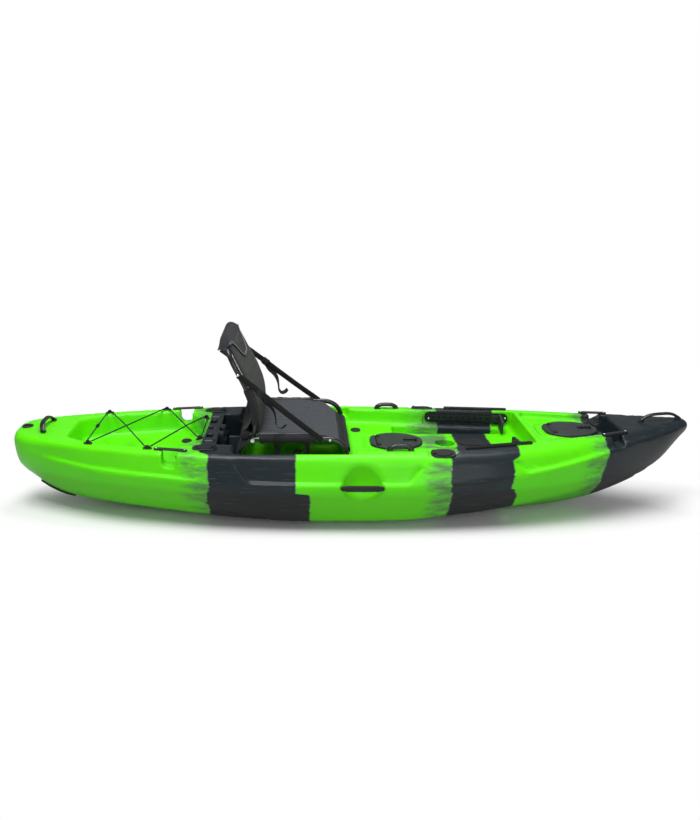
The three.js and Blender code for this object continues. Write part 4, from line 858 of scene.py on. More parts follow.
class Palette:
    """Every material, each made once."""

    def __init__(self) -> None:
        """Makes the shared groups and the materials."""
        self.grain = shader_group("Grain", ("Grain", "Depth"), grain)
        self.weave = shader_group("Weave", ("Grain", "Depth"), weave)
        self.made = {name: self.moulded(name, finish) for name, finish in FINISHES.items()}
        self.made |= {name: self.cloth(name, finish) for name, finish in CLOTHS.items()}
        self.made["hull"] = self.hull()

    def __getitem__(self, name: str):
        """Looks up a material."""
        return self.made[name]

    @staticmethod
    def start(name: str):
        """Makes an empty material with a Principled shader.

        Args:
            name: The material's name.

        Returns:
            The material, its builder and its shader node.
        """
        material = bpy.data.materials.new(name)
        material.use_nodes = True
        return material, Nodes(material.node_tree), material.node_tree.nodes["Principled BSDF"]

    def moulded(self, name: str, finish: Finish):
        """Makes moulded plastic, rubber or metal.

        Args:
            name: The material's name.
            finish: The finish.

        Returns:
            The material.
        """
        material, n, shader = self.start(name)
        skin = n.add("ShaderNodeGroup", node_tree=self.grain, Grain=finish.grain, Depth=finish.depth).outputs
        color = n.mix(skin["Value"], shaded(finish.color, 1 - finish.spread),
                      shaded(finish.color, 1 + finish.spread, 0.004))
        color = n.mix(n.times(skin["Scuff"], finish.scuff * 4), color, shaded(finish.color, 1, 0.05))
        rough = n.plus(n.times(skin["Scuff"], finish.scuff * 2), finish.roughness, clamp=True)
        n.set(shader, Base_Color=color, Roughness=rough, Normal=skin["Normal"],
              Metallic=finish.metallic, Specular_IOR_Level=finish.shine)
        return material

    def cloth(self, name: str, finish: Finish):
        """Makes a woven cloth.

        Args:
            name: The material's name.
            finish: The finish.

        Returns:
            The material.
        """
        material, n, shader = self.start(name)
        skin = n.add("ShaderNodeGroup", node_tree=self.weave, Grain=finish.grain, Depth=finish.depth).outputs
        color = n.mix(skin["Value"], shaded(finish.color, 0.55), shaded(finish.color, 1.35))
        color = n.mix(n.times(skin["Fuzz"], 0.35), color, shaded(finish.color, 1.7))
        n.set(shader, Base_Color=color, Roughness=finish.roughness, Normal=skin["Normal"],
              Sheen_Weight=finish.sheen, Sheen_Roughness=0.5, Specular_IOR_Level=finish.shine * 0.6)
        return material

    @staticmethod
    def bands(n: Nodes, coords, x, y, z):
        """Finds where the hull is slate.

        Args:
            n: The material's builder.
            coords: The object's coordinates.
            x: The place along the boat.
            y: The place across it.
            z: The height.

        Returns:
            A socket that is 1 in a slate band and 0 on the green.
        """
        drift = n.streaks(coords, (1.0, 1.0, 2.5), 3.2, 4.0, 0.6)
        fray = n.streaks(coords, (3.0, 26.0, 60.0), 2.0, 6.0, 0.75)
        along = n.plus(x, n.plus(n.times(n.minus(drift, 0.5), 0.035), n.times(n.minus(fray, 0.5), 0.022)))
        off = n.math("ABSOLUTE", y)
        wide = n.math("DIVIDE", y, HALF_BEAM)
        deep = n.math("DIVIDE", n.minus(BILGE_TOP, z), BILGE_TOP)
        skin = n.plus(n.times(wide, wide), n.times(deep, deep))
        outboard = n.math("MAXIMUM", n.step(off, *OUTBOARD), n.step(skin, *BILGE_TURN))
        lower = n.times(outboard, n.step(n.minus(LOW_TOP, z), -0.004, 0.004))
        middle = n.step(n.minus(CENTRE_HALF, off), -0.015, 0.015)
        masks = []
        for band in SLATE_BANDS:
            ends = []
            for side, low, deck, centre in zip(band.side, band.low, band.deck, band.centre):
                end = n.plus(n.times(middle, centre - deck), deck)
                end = n.plus(n.times(outboard, n.minus(side, end)), end)
                ends.append(n.plus(n.times(lower, low - side), end))
            masks.append(n.times(n.step(n.minus(along, ends[0]), -BAND_SOFTNESS, BAND_SOFTNESS),
                                 n.step(n.minus(ends[1], along), -BAND_SOFTNESS, BAND_SOFTNESS)))
        return n.largest(masks)

    @staticmethod
    def smears(n: Nodes, coords, x):
        """Finds where slate is dragged out over the green.

        Args:
            n: The material's builder.
            coords: The object's coordinates.
            x: The place along the boat.

        Returns:
            A socket from 0 to 1.
        """
        brushed = n.streaks(coords, (3.0, 9.0, 13.0), 2.2, 6.0, 0.72)
        zone = n.largest([n.times(n.step(x, start, end), n.step(n.minus(end + SMEAR_RUN, x), -0.02, 0.02))
                          for start, end in SMEARS])
        return n.times(n.step(n.plus(brushed, n.times(zone, 0.20)), 0.52, 0.84), n.step(zone, 0.02, 0.6))

    def hull(self):
        """Makes the hull's green plastic, with slate bands brushed into it and painted shade darkening the
        lower hull.

        Returns:
            The material.
        """
        material, n, shader = self.start("hull_plastic")
        coords = n.coords()
        x, y, z = n.split(coords)
        mask = self.bands(n, coords, x, y, z)
        edge = n.times(n.times(mask, n.minus(1.0, mask)), 4.0)
        cloud = n.noise(coords, 5.0, 4.0)
        # Painted shade: below about 0.215 m the hull is mixed towards darker colours, as if in shade
        under = n.step(n.minus(0.215, z), -0.012, 0.03)
        slate = n.mix(n.times(under, 0.75), n.mix(cloud, SLATE_DEEP, SLATE_PALE), SLATE_UNDERSIDE_SHADE)
        green = n.mix(n.times(under, 0.55), n.mix(cloud, GREEN_DEEP, GREEN_LIT), GREEN_UNDERSIDE_SHADE)
        green = n.mix(n.times(self.smears(n, coords, x), 0.85), green, SMEAR)
        streak = n.streaks(coords, (2.0, 30.0, 90.0), 3.0, 5.0, 0.7)
        chalk = n.times(n.times(edge, n.step(streak, 0.5, 0.66)), 0.45)
        color = n.mix(chalk, n.mix(mask, green, slate), CHALK)
        skin = n.add("ShaderNodeGroup", node_tree=self.grain, Grain=650.0, Depth=0.00045).outputs
        color = n.mix(n.times(skin["Scuff"], 0.10), color, CHALK)
        rough = n.plus(n.plus(n.times(skin["Value"], 0.12), 0.36), n.times(skin["Scuff"], 0.15))
        n.set(shader, Base_Color=color, Roughness=rough, Normal=skin["Normal"], Specular_IOR_Level=0.16,
              Coat_Weight=0.24, Coat_Roughness=0.16, Coat_IOR=1.35)
        return material


@dataclass(frozen=True)
class Band:
    """One slate band: where it starts and ends on each part of the hull."""

    side: tuple[float, float]
    low: tuple[float, float]
    deck: tuple[float, float]
    centre: tuple[float, float]


SLATE_BANDS = (
    Band((-0.615, -0.250), (-0.625, -0.190), (-0.655, -0.478), (-0.655, -0.478)),
    Band((0.392, 0.657), (0.400, 0.676), (0.425, 0.690), (0.480, 0.640)),
    Band((1.140, 1.700), (1.140, 1.700), (1.090, 1.700), (1.090, 1.700)),
)


HALF_LENGTH = 1.525
HALF_BEAM = 0.393
DECK = 0.370
VOXEL = 0.004

LINE_NAMES = ("keel", "bilge_y", "bilge_z", "chine_y", "chine_z", "deck_y", "crest_y", "deck_z")
# The hull's lines, stern to bow: the place as a share of the half length, then one column for
# each of LINE_NAMES, breadths as shares of the half beam and heights of the deck's height
HULL_LINES = (
    (-1.0, 0.6, 0.05, 0.62, 0.08, 0.8, 0.07, 0.03, 0.93),
    (-0.984, 0.5, 0.1, 0.56, 0.24, 0.82, 0.24, 0.16, 1.015),
    (-0.955, 0.4, 0.14, 0.49, 0.33, 0.82, 0.34, 0.26, 1.022),
    (-0.905, 0.255, 0.2, 0.37, 0.42, 0.8, 0.43, 0.36, 1.019),
    (-0.84, 0.15, 0.29, 0.29, 0.52, 0.77, 0.515, 0.455, 1.014),
    (-0.72, 0.07, 0.43, 0.24, 0.69, 0.735, 0.645, 0.59, 1.005),
    (-0.56, 0.015, 0.56, 0.2, 0.83, 0.71, 0.77, 0.71, 1.0),
    (-0.36, 0.0, 0.68, 0.15, 0.95, 0.68, 0.87, 0.81, 0.998),
    (-0.13, 0.0, 0.76, 0.125, 0.998, 0.665, 0.91, 0.835, 0.998),
    (0.1, 0.0, 0.775, 0.14, 1.0, 0.665, 0.905, 0.79, 1.002),
    (0.33, 0.006, 0.725, 0.22, 0.95, 0.71, 0.86, 0.7, 1.013),
    (0.525, 0.043, 0.615, 0.33, 0.82, 0.79, 0.73, 0.575, 1.032),
    (0.69, 0.135, 0.48, 0.46, 0.63, 0.9, 0.54, 0.42, 1.05),
    (0.82, 0.31, 0.3, 0.62, 0.43, 1.0, 0.375, 0.29, 1.075),
    (0.92, 0.57, 0.16, 0.76, 0.25, 1.045, 0.215, 0.145, 1.1),
    (0.98, 0.88, 0.06, 0.96, 0.11, 1.07, 0.09, 0.05, 1.12),
    (1.0, 0.98, 0.02, 1.0, 0.035, 1.03, 0.03, 0.015, 1.08),
)
# Side panels that stand back above a ledge: from, to, run-out (shares) and whether it climbs
PANELS = ((-0.93, -0.4, 0.12, 0), (-0.335, 0.19, 0.05, 1), (0.43, 0.78, 0.05, 1))
PANEL_DEPTH = 0.014
PANEL_LIP = 0.008
SHOULDER_FALL = 0.33
HIGHEST = 0.4144
# Notches across the gunwale: the place (share), the width and the depth
NOTCHES = ((-0.513, 0.062, 0.068), (0.7525, 0.047, 0.045))
# Round holes straight down: the place (share), Y, radius, floor (-1 goes right through) and rim
BORES = (
    (0.282, 0.0, 0.043, 0.226, 0.006), (-0.502, 0.102, 0.019, -1, 0.006),
    (0.0215, 0.165, 0.019, -1, 0.006), (0.452, 0.165, 0.019, -1, 0.006),
    (-0.963, 0.0, 0.013, 0.350, 0.002),
)
# Rod holders' holes: the place (share), Y, lift off the deck, fore and aft lean, and roll in degrees
ROD_BORES = ((-0.418, 0.252, 0.0008, -1, 0), (0.24, 0.303, -0.0087, 1, 12))
ROD_TILT = math.radians(30)
ROD_RADIUS = 0.0245
ROD_DEPTH = 0.191


class Lines:
    """The hull's lines as smooth curves along its length."""

    def __init__(self) -> None:
        """Finds the slope of each line at each of its rows."""
        table = np.array(HULL_LINES)
        self.at = table[:, 0]
        self.columns = dict(zip(LINE_NAMES, table[:, 1:].T))
        self.slopes = {name: self._tangents(column) for name, column in self.columns.items()}

    def _tangents(self, column: np.ndarray) -> np.ndarray:
        """Finds slopes that keep a curve from overshooting its rows.

        Args:
            column: The line's values.

        Returns:
            The slope at each row.
        """
        steps = np.diff(column) / np.diff(self.at)
        product = steps[:-1] * steps[1:]
        total = np.where(product > 0, steps[:-1] + steps[1:], 1.0)
        inner = np.where(product > 0, 2 * product / total, 0.0)
        return np.concatenate([steps[:1], inner, steps[-1:]])

    def share(self, name: str, x: np.ndarray) -> np.ndarray:
        """Reads a line.

        Args:
            name: One of LINE_NAMES.
            x: Places along the hull, in metres.

        Returns:
            The line's share at each place.
        """
        at = np.clip(np.asarray(x, float) / HALF_LENGTH, -1, 1)
        i = np.clip(np.searchsorted(self.at, at) - 1, 0, len(self.at) - 2)
        column, slopes = self.columns[name], self.slopes[name]
        step = self.at[i + 1] - self.at[i]
        t = (at - self.at[i]) / step
        rise = column[i + 1] - column[i]
        start, end = slopes[i] * step, slopes[i + 1] * step
        bend = t * (start + t * (3 * rise - 2 * start - end + t * (start + end - 2 * rise)))
        return column[i] + bend

    def read(self, name: str, x):
        """Reads one of LINE_NAMES in metres, at places along the hull."""
        return self.share(name, x) * (DECK if name.endswith("z") or name == "keel" else HALF_BEAM)

    def deck(self, x: float) -> float:
        """The height of the deck's crest at one place."""
        return float(self.read("deck_z", x))


def panel_at(at: float) -> tuple[float, float]:
    """How far a side panel stands back, and how high its ledge climbs.

    Args:
        at: A place as a share of the half length.

    Returns:
        The depth and the climb, each from 0 to 1.
    """
    for start, end, run_out, lift in PANELS:
        if start < at < end:
            ends = min((at - start) / run_out, (end - at) / run_out, 1)
            eased = ends * ends * (3 - 2 * ends)
            return (min(1.0, eased * 4) if lift else eased), lift * (1 - eased)
    return 0.0, 0.0


def round_outline(corners: Sequence[Corner], steps: int = 8) -> np.ndarray:
    """Rounds the corners of an outline.

    Args:
        corners: (x, y, radius) of each corner, anticlockwise.
        steps: How many steps each corner takes.

    Returns:
        The outline's points.
    """
    points = []
    for i, (x, y, radius) in enumerate(corners):
        here = np.array((x, y))
        back = np.array(corners[i - 1][:2]) - here
        on = np.array(corners[(i + 1) % len(corners)][:2]) - here
        back, on = back / np.linalg.norm(back), on / np.linalg.norm(on)
        angle = math.acos(float(np.clip(back @ on, -1, 1)))
        reach = radius / math.tan(angle / 2)
        if reach < 0.0005:
            points.append(here)
            continue
        for t in np.linspace(0, 1, steps + 1):
            points.append((1 - t) ** 2 * (here + back * reach) + 2 * t * (1 - t) * here
                          + t**2 * (here + on * reach))
    return np.array(points)


def mirrored(half: Sequence[Corner]) -> list[Corner]:
    """Closes a half outline, given from the bow end aft, with its mirror image across Y = 0."""
    return [*half, *[(x, -y, radius) for x, y, radius in reversed(half)]]


def outline_distance(outline: np.ndarray, x: np.ndarray, y: np.ndarray) -> np.ndarray:
    """The signed distance to an outline, below zero inside it.

    Args:
        outline: The outline's points.
        x: Grid of first coordinates.
        y: Grid of second coordinates.

    Returns:
        The distance at each grid point.
    """
    best = np.full(np.broadcast(x, y).shape, 1e9)
    inside = np.zeros(best.shape, bool)
    for a, b in zip(outline, np.roll(outline, -1, 0)):
        along = b - a
        if along @ along < 1e-14:
            continue
        t = np.clip(((x - a[0]) * along[0] + (y - a[1]) * along[1]) / (along @ along), 0, 1)
        best = np.minimum(best, (x - a[0] - t * along[0]) ** 2 + (y - a[1] - t * along[1]) ** 2)
        if a[1] != b[1]:
            crosses = (a[1] > y) != (b[1] > y)
            inside ^= crosses & (x < (y - a[1]) / (b[1] - a[1]) * along[0] + a[0])
    return np.where(inside, -1, 1) * np.sqrt(best)


def blend_max(a, b, radius: float):
    """The larger of two fields, rounded over a radius where they meet."""
    overlap = np.maximum(radius - np.abs(a - b), 0) / radius
    return np.maximum(a, b) + overlap * overlap * radius * 0.25


def blend_min(a, b, radius: float):
    """The smaller of two fields, rounded where they meet."""
    return -blend_max(-a, -b, radius)


def along_hull(share: float) -> float:
    """The place of a share of the half length, in metres."""
    return share * HALF_LENGTH


def softened(table: np.ndarray, sigma: float, axis: int) -> np.ndarray:
    """Softens the kinks in a table along one axis.

    Args:
        table: The values.
        sigma: The width of the softening, in samples.
        axis: The axis it runs along.

    Returns:
        The softened table.
    """
    reach = int(3 * sigma) + 1
    kernel = np.exp(-0.5 * (np.arange(-reach, reach + 1) / sigma) ** 2)
    kernel /= kernel.sum()
    pad = [(reach, reach) if k == axis else (0, 0) for k in range(table.ndim)]
    wide = np.pad(table, pad, mode="reflect", reflect_type="odd")
    return np.apply_along_axis(lambda row: np.convolve(row, kernel, mode="valid"), axis, wide)


@dataclass(frozen=True)
class Well:
    """A well moulded down into the deck."""

    outline: np.ndarray
    floor: float
    lean: float
    fillet: float
    twin: bool = False


@dataclass
class HullField:
    """The hull as a field of signed distances, port half only."""

    lines: Lines
    voxel: float = VOXEL
    x: np.ndarray = field(init=False)
    y: np.ndarray = field(init=False)
    z: np.ndarray = field(init=False)
    body: np.ndarray = field(init=False)

    def __post_init__(self) -> None:
        """Lays out the grid."""
        h = self.voxel
        self.x = np.arange(-HALF_LENGTH - 4 * h, HALF_LENGTH + 4.5 * h, h)
        self.y = np.arange(0, HALF_BEAM + 4.5 * h, h)
        self.z = np.arange(-4 * h, HIGHEST + 4.5 * h, h)

    def edge(self, share: float, band: float) -> float:
        """How far out the inner edge of a band of gunwale is, at a share of the half length."""
        return float(self.lines.read("crest_y", along_hull(share))) - band

    def carve(self, cut: np.ndarray, region, radius: float) -> None:
        """Cuts a field from the hull over some slices of the grid, with a rounded rim."""
        self.body[region] = blend_max(self.body[region], -cut, radius)

    def outside(self) -> np.ndarray:
        """The outer hull with no wells.

        Returns:
            The field of distances.
        """
        x, y, z = self.x, self.y, self.z
        read = {name: self.lines.read(name, x) for name in LINE_NAMES}
        bottom = np.empty((len(x), len(y)))
        side = np.empty((len(x), len(z)))
        for i, at in enumerate(x / HALF_LENGTH):
            keel, by, bz = read["keel"][i], read["bilge_y"][i], read["bilge_z"][i]
            cy, cz = read["chine_y"][i], read["chine_z"][i]
            ys = [0, by * 0.3, by * 0.86, by, by + (cy - by) * 0.45, by + (cy - by) * 0.82, cy]
            zs = [keel, keel, keel + (bz - keel) * 0.78, bz, bz + (cz - bz) * 0.36,
                  bz + (cz - bz) * 0.74, cz]
            slope = (zs[-1] - zs[-2]) / (ys[-1] - ys[-2])
            bottom[i] = np.interp(y, ys, zs) + np.maximum(y - cy, 0) * slope
            deck, edge, crest = read["deck_z"][i], read["deck_y"][i], read["crest_y"][i]
            drop = (edge - crest) * SHOULDER_FALL
            low_y, low_z = edge + (cy - edge) * 0.12, deck - drop - (deck - cz) * 0.22
            depth, climb = panel_at(at)
            inset = PANEL_DEPTH * depth
            lip = PANEL_LIP / max(low_z - cz, PANEL_LIP * 2)
            ledge = 0.1 + climb * 0.75
            back = min(ledge + lip, 0.95)
            zz = [cz, cz + (low_z - cz) * ledge, cz + (low_z - cz) * back, low_z, deck - drop]
            yy = [cy, cy + (low_y - cy) * ledge, cy + (low_y - cy) * back - inset,
                  low_y - inset * 0.3, edge - drop * 0.4]
            lean = (yy[1] - yy[0]) / (zz[1] - zz[0])
            row = np.interp(z, zz, yy)
            side[i] = row + np.minimum(z - cz, 0) * lean + np.maximum(z - deck + drop, 0) * -0.35
        bottom = softened(bottom, 2.0, 1)
        side = softened(side, 0.6, 1)
        h = self.voxel
        by, bx = np.gradient(bottom, h)[1], np.gradient(bottom, h)[0]
        low = (bottom[:, :, None] - z) / np.sqrt(1 + bx**2 + by**2)[:, :, None]
        sz, sx = np.gradient(side, h)[1], np.gradient(side, h)[0]
        out = (y[None, :, None] - side[:, None, :]) / np.sqrt(1 + sx**2 + sz**2)[:, None, :]
        deck, crest, edge = read["deck_z"], read["crest_y"], read["deck_y"]
        beyond = y[None, :] - crest[:, None]
        slope = SHOULDER_FALL / (1 - SHOULDER_FALL * 0.4)
        fall = 0.5 * (beyond + np.sqrt(beyond**2 + 0.006**2)) * slope
        top = (z - (deck[:, None] - fall)[:, :, None]) / math.sqrt(1 + 0.15**2)
        body = blend_max(blend_max(low, out, 0.008), top, 0.020)
        ends = np.abs(x)[:, None, None] - HALF_LENGTH
        return blend_max(body, ends, 0.012)

    def wells(self) -> list[Well]:
        """The wells in the deck.

        Returns:
            Every well, with its outline at deck level.
        """
        def rim(share: float, band: float, radius: float) -> Corner:
            """A corner on the inner edge of a band of gunwale."""
            return along_hull(share), self.edge(share, band), radius

        def spot(share: float, y: float, radius: float) -> Corner:
            """A corner at a set distance from the middle line."""
            return along_hull(share), y, radius

        tank = mirrored([spot(-0.4328, 0.095, 0.03), rim(-0.469, 0.126, 0.06), rim(-0.518, 0.034, 0.06),
                         rim(-0.6, 0.034, 0.06), rim(-0.755, 0.034, 0.06), spot(-0.828, 0.112, 0.06)])
        shelf = mirrored([(along_hull(-0.3377) + 0.03, 0.205, 0.03), spot(-0.376, 0.205, 0.03)])
        ledge = mirrored([rim(0.003, 0.004, 0.028), rim(-0.3377, 0.004, 0.03)])
        seat = mirrored([spot(-0.0197, 0.232, 0.03), spot(-0.3213, 0.232, 0.03)])
        cockpit = mirrored([rim(0.515, 0.022, 0.028), rim(0.166, 0.046, 0.06), rim(-0.0138, 0.038, 0.028)])
        bow = mirrored([rim(0.745, 0.028, 0.028), rim(0.531, 0.028, 0.03)])
        tray = mirrored([rim(0.782, 0.022, 0.028), rim(0.736, 0.022, 0.028)])
        fore, aft = 0.485, 0.134
        foot = [spot(fore, 0.118, 0.03), spot(fore, self.wall(along_hull(fore)) - 0.026, 0.03),
                spot(aft, self.wall(along_hull(aft)) - 0.026, 0.03), spot(aft, 0.118, 0.03)]
        return [
            Well(round_outline(tank), 0.268, 0.0168, 0.030),
            Well(round_outline(shelf), 0.338, 0.0056, 0.012),
            Well(round_outline(ledge), 0.330, 0.0056, 0.012),
            Well(round_outline(seat), 0.200, 0.014, 0.030),
            Well(round_outline(cockpit), 0.300, 0.0105, 0.022),
            Well(round_outline(bow), 0.358, 0.0056, 0.008),
            Well(round_outline(tray), 0.305, 0.0056, 0.014),
            Well(round_outline(foot), 0.250, 0.0084, 0.022, twin=True),
        ]

    def wall(self, x: float) -> float:
        """The cockpit's straight side wall.

        Args:
            x: A place along the hull.

        Returns:
            The wall's distance from the middle line.
        """
        start, end = along_hull(0.166), along_hull(0.515)
        low, high = self.edge(0.166, 0.046), self.edge(0.515, 0.022)
        return low + (high - low) * (x - start) / (end - start)

    def window(self, low: Point, high: Point) -> tuple[tuple, tuple]:
        """The part of the grid between two corners.

        Args:
            low: The lowest corner.
            high: The highest corner.

        Returns:
            The slices, and the three coordinates over them.
        """
        spans = []
        for axis, a, b in zip((self.x, self.y, self.z), low, high):
            start, end = np.searchsorted(axis, (a, b))
            spans.append(slice(max(int(start), 0), min(int(end), len(axis))))
        region = tuple(spans)
        return region, (self.x[region[0]][:, None, None], self.y[region[1]][None, :, None],
                        self.z[region[2]][None, None, :])

    def field(self) -> np.ndarray:
        """The whole hull.

        Returns:
            The field of distances over the port half.
        """
        self.body = self.outside()
        skin = self.body.copy()
        self._carve_wells()
        self._carve_sides()
        self._carve_bores()
        self._carve_hatches(skin)
        return self.body

    def _carve_wells(self) -> None:
        """Cuts the wells and the gunwale notches."""
        grid_x, grid_y = self.x[:, None], self.y[None, :]
        room = None
        for well in self.wells():
            flat = outline_distance(well.outline, grid_x, grid_y)
            height = np.clip((DECK - self.z) / (DECK - well.floor), 0, 1.2)
            wall = flat[:, :, None] + well.lean * height
            cut = blend_max(wall, well.floor - self.z[None, None, :], well.fillet)
            room = cut if room is None else blend_min(room, cut, 0.010)
        self.carve(room, ..., 0.010)
        self._carve_bulkhead()
        for share, width, depth in NOTCHES:
            x = along_hull(share)
            low = self.lines.deck(x) - depth
            half = width / 2
            outline = round_outline([(x + half, 0.5, 0), (x - half, 0.5, 0),
                                     (x - half, low, half * 0.9), (x + half, low, half * 0.9)])
            flat = outline_distance(outline, self.x[:, None], self.z[None, :])
            self.carve(flat[:, None, :], ..., 0.008)

    def _carve_bulkhead(self) -> None:
        """Cuts the stepped recesses across the deck behind the seat."""
        region, (x, y, z) = self.window((-0.68, 0, 0.24), (-0.48, 0.26, 0.42))
        deep = self._block(x, y, z, (-0.594, -1, 0.250), (-0.508, 0.200, 1))
        step = self._block(x, y, z, (-0.612, 0.020, 0), (-0.560, 0.066, 0.368))
        self.carve(blend_max(deep, -step, 0.004), region, 0.006)
        for low, high in (((-0.646, 0.070, 0.345), (-0.618, 0.118, 1)),
                          ((-0.655, -1, 0.352), (-0.628, 0.022, 1))):
            self.carve(self._block(x, y, z, low, high), region, 0.004)
        rib = self._block(x, y, z, (-0.655, 0.148, 0.30), (-0.604, 0.170, 0.3765))
        self.body[region] = blend_min(self.body[region], rib, 0.004)

    @staticmethod
    def _block(x: np.ndarray, y: np.ndarray, z: np.ndarray, low: Point, high: Point) -> np.ndarray:
        """The field of a block between two corners, over a grid's three coordinates."""
        sides = [np.abs(axis - (a + b) / 2) - (b - a) / 2 for axis, a, b in zip((x, y, z), low, high)]
        return blend_max(blend_max(sides[0], sides[1], 0.010), sides[2], 0.006)

    def _carve_sides(self) -> None:
        """Cuts the side dishes, the handle slots, the track pockets and the rod facets."""
        x0 = along_hull(0.017)
        region, (x, y, z) = self.window((x0 - 0.13, 0.30, 0.13), (x0 + 0.13, 0.5, 0.40))
        radii = (0.086, 0.056, 0.094)
        ball = np.sqrt(((x - x0) / radii[0]) ** 2 + ((y - HALF_BEAM) / radii[1]) ** 2
                       + ((z - 0.262) / radii[2]) ** 2)
        self.carve((ball - 1) * 0.045, region, 0.010)
        slot = np.maximum(np.maximum(np.abs(x - x0) - 0.0914, np.abs(z - 0.242) - 0.0139),
                          HALF_BEAM - 0.0103 - y)
        self.carve(slot, region, 0.002)
        turn = math.atan2(self.wall(0.785) - self.wall(0.253), 0.785 - 0.253)
        x1 = along_hull(0.3725)
        region, (x, y, z) = self.window((x1 - 0.24, 0.15, 0.28), (x1 + 0.24, 0.33, 0.42))
        along = (x - x1) * math.cos(turn) + (y - self.wall(x1)) * math.sin(turn)
        depth = -(x - x1) * math.sin(turn) + (y - self.wall(x1)) * math.cos(turn)
        pocket = np.maximum(np.maximum(np.abs(along) - 0.206, depth - 0.0018), 0.308 - z)
        pocket = np.maximum(pocket, -0.03 - depth)
        self.carve(pocket, region, 0.003)
        x2, roll = along_hull(0.24), math.radians(12)
        region, (x, y, z) = self.window((x2 - 0.09, 0.22, 0.32), (x2 + 0.09, 0.40, 0.44))
        up, off = z - self.lines.deck(x2) + 0.009, y - 0.303
        rise = up * math.cos(roll) + off * math.sin(roll)
        across = off * math.cos(roll) - up * math.sin(roll)
        facet = np.maximum(np.maximum(np.abs(x - x2) - 0.061, np.abs(across) - 0.055), -rise)
        self.carve(facet, region, 0.006)

    def _carve_bores(self) -> None:
        """Cuts the cup recess, the scuppers, the drain and the rod holders' holes."""
        for share, y0, radius, floor, rim in BORES:
            x0 = along_hull(share)
            reach = radius + 0.03
            region, (x, y, z) = self.window((x0 - reach, y0 - reach, floor - 0.03),
                                            (x0 + reach, y0 + reach, 0.44))
            bore = np.maximum(np.hypot(x - x0, y - y0) - radius, floor - z)
            self.carve(bore, region, rim)
        for share, y0, lift, lean, roll in ROD_BORES:
            x0 = along_hull(share)
            z0 = self.lines.deck(x0) + lift
            roll = math.radians(roll)
            axis = np.array((lean * math.sin(ROD_TILT), math.cos(ROD_TILT) * math.sin(roll),
                             math.cos(ROD_TILT) * math.cos(roll)))
            region, (x, y, z) = self.window((x0 - 0.16, y0 - 0.09, 0.15), (x0 + 0.16, y0 + 0.09, 0.44))
            px, py, pz = x - x0, y - y0, z - z0
            t = px * axis[0] + py * axis[1] + pz * axis[2]
            off = np.sqrt((px - t * axis[0]) ** 2 + (py - t * axis[1]) ** 2 + (pz - t * axis[2]) ** 2)
            self.carve(np.maximum(off - ROD_RADIUS, -ROD_DEPTH - t), region, 0.002)

    def _carve_hatches(self, skin: np.ndarray) -> None:
        """Cuts the hatch openings, and the hollow that shows through them.

        Args:
            skin: The outer hull with no wells.
        """
        for hatch in HATCHES:
            flat = outline_distance(hatch.outline(), self.x[:, None], self.y[None, :])
            region, (x, _, z) = self.window((hatch.x - 0.2, 0, -0.02),
                                            (hatch.x + 0.2, 0.2, hatch.floor + 0.03))
            near = flat[region[0], region[1]][:, :, None]
            opening = np.maximum(near + 0.0145, z - hatch.floor - 0.02)
            under = np.maximum(near - 0.02, z - hatch.floor + 0.006)
            under = np.maximum(under, skin[region] + 0.007)
            opening = np.maximum(opening, hatch.floor - 0.03 - z)
            bend = np.maximum(np.abs(near - 0.024) - 0.0035, np.abs(z - hatch.floor) - 0.0045)
            self.carve(np.maximum(bend, x - hatch.x + 0.085), region, 0.003)
            self.carve(opening, region, 0.002)
            self.carve(under, region, 0.003)


@dataclass(frozen=True)
class Hatch:
    """One of the two hatches."""

    name: str
    share: float
    floor: float
    length: float
    width: float

    @property
    def x(self) -> float:
        """The middle of the hatch."""
        return along_hull(self.share)

    def outline(self) -> np.ndarray:
        """The teardrop outline of the hatch, in the part's frame.

        Returns:
            The outline's points.
        """
        a, b = self.length / 2, self.width / 2
        corners = mirrored([(a, b * 0.4, 0.026), (a * 0.45, b * 0.92, 0.07),
                            (-a * 0.3, b * 1.04, 0.07), (-a, b * 0.55, 0.026)])
        return round_outline(corners) + (self.x, 0)


HATCHES = (Hatch("mid", 0.1354, 0.300, 0.240, 0.208), Hatch("bow", 0.652, 0.358, 0.240, 0.196))


def sampled(whole: np.ndarray, start: np.ndarray, h: float, points: np.ndarray) -> np.ndarray:
    """Reads a field between its grid points.

    Args:
        whole: The field.
        start: The place of its first grid point.
        h: The grid's spacing.
        points: Where it is read.

    Returns:
        The field's value at each point.
    """
    at = (points - start) / h
    i = np.clip(np.floor(at).astype(int), 0, np.array(whole.shape) - 2)
    t = at - i
    total = np.zeros(len(points))
    for corner in range(8):
        bits = np.array([(corner >> k) & 1 for k in range(3)])
        weight = np.prod(np.where(bits, t, 1 - t), axis=1)
        j = i + bits
        total += weight * whole[j[:, 0], j[:, 1], j[:, 2]]
    return total


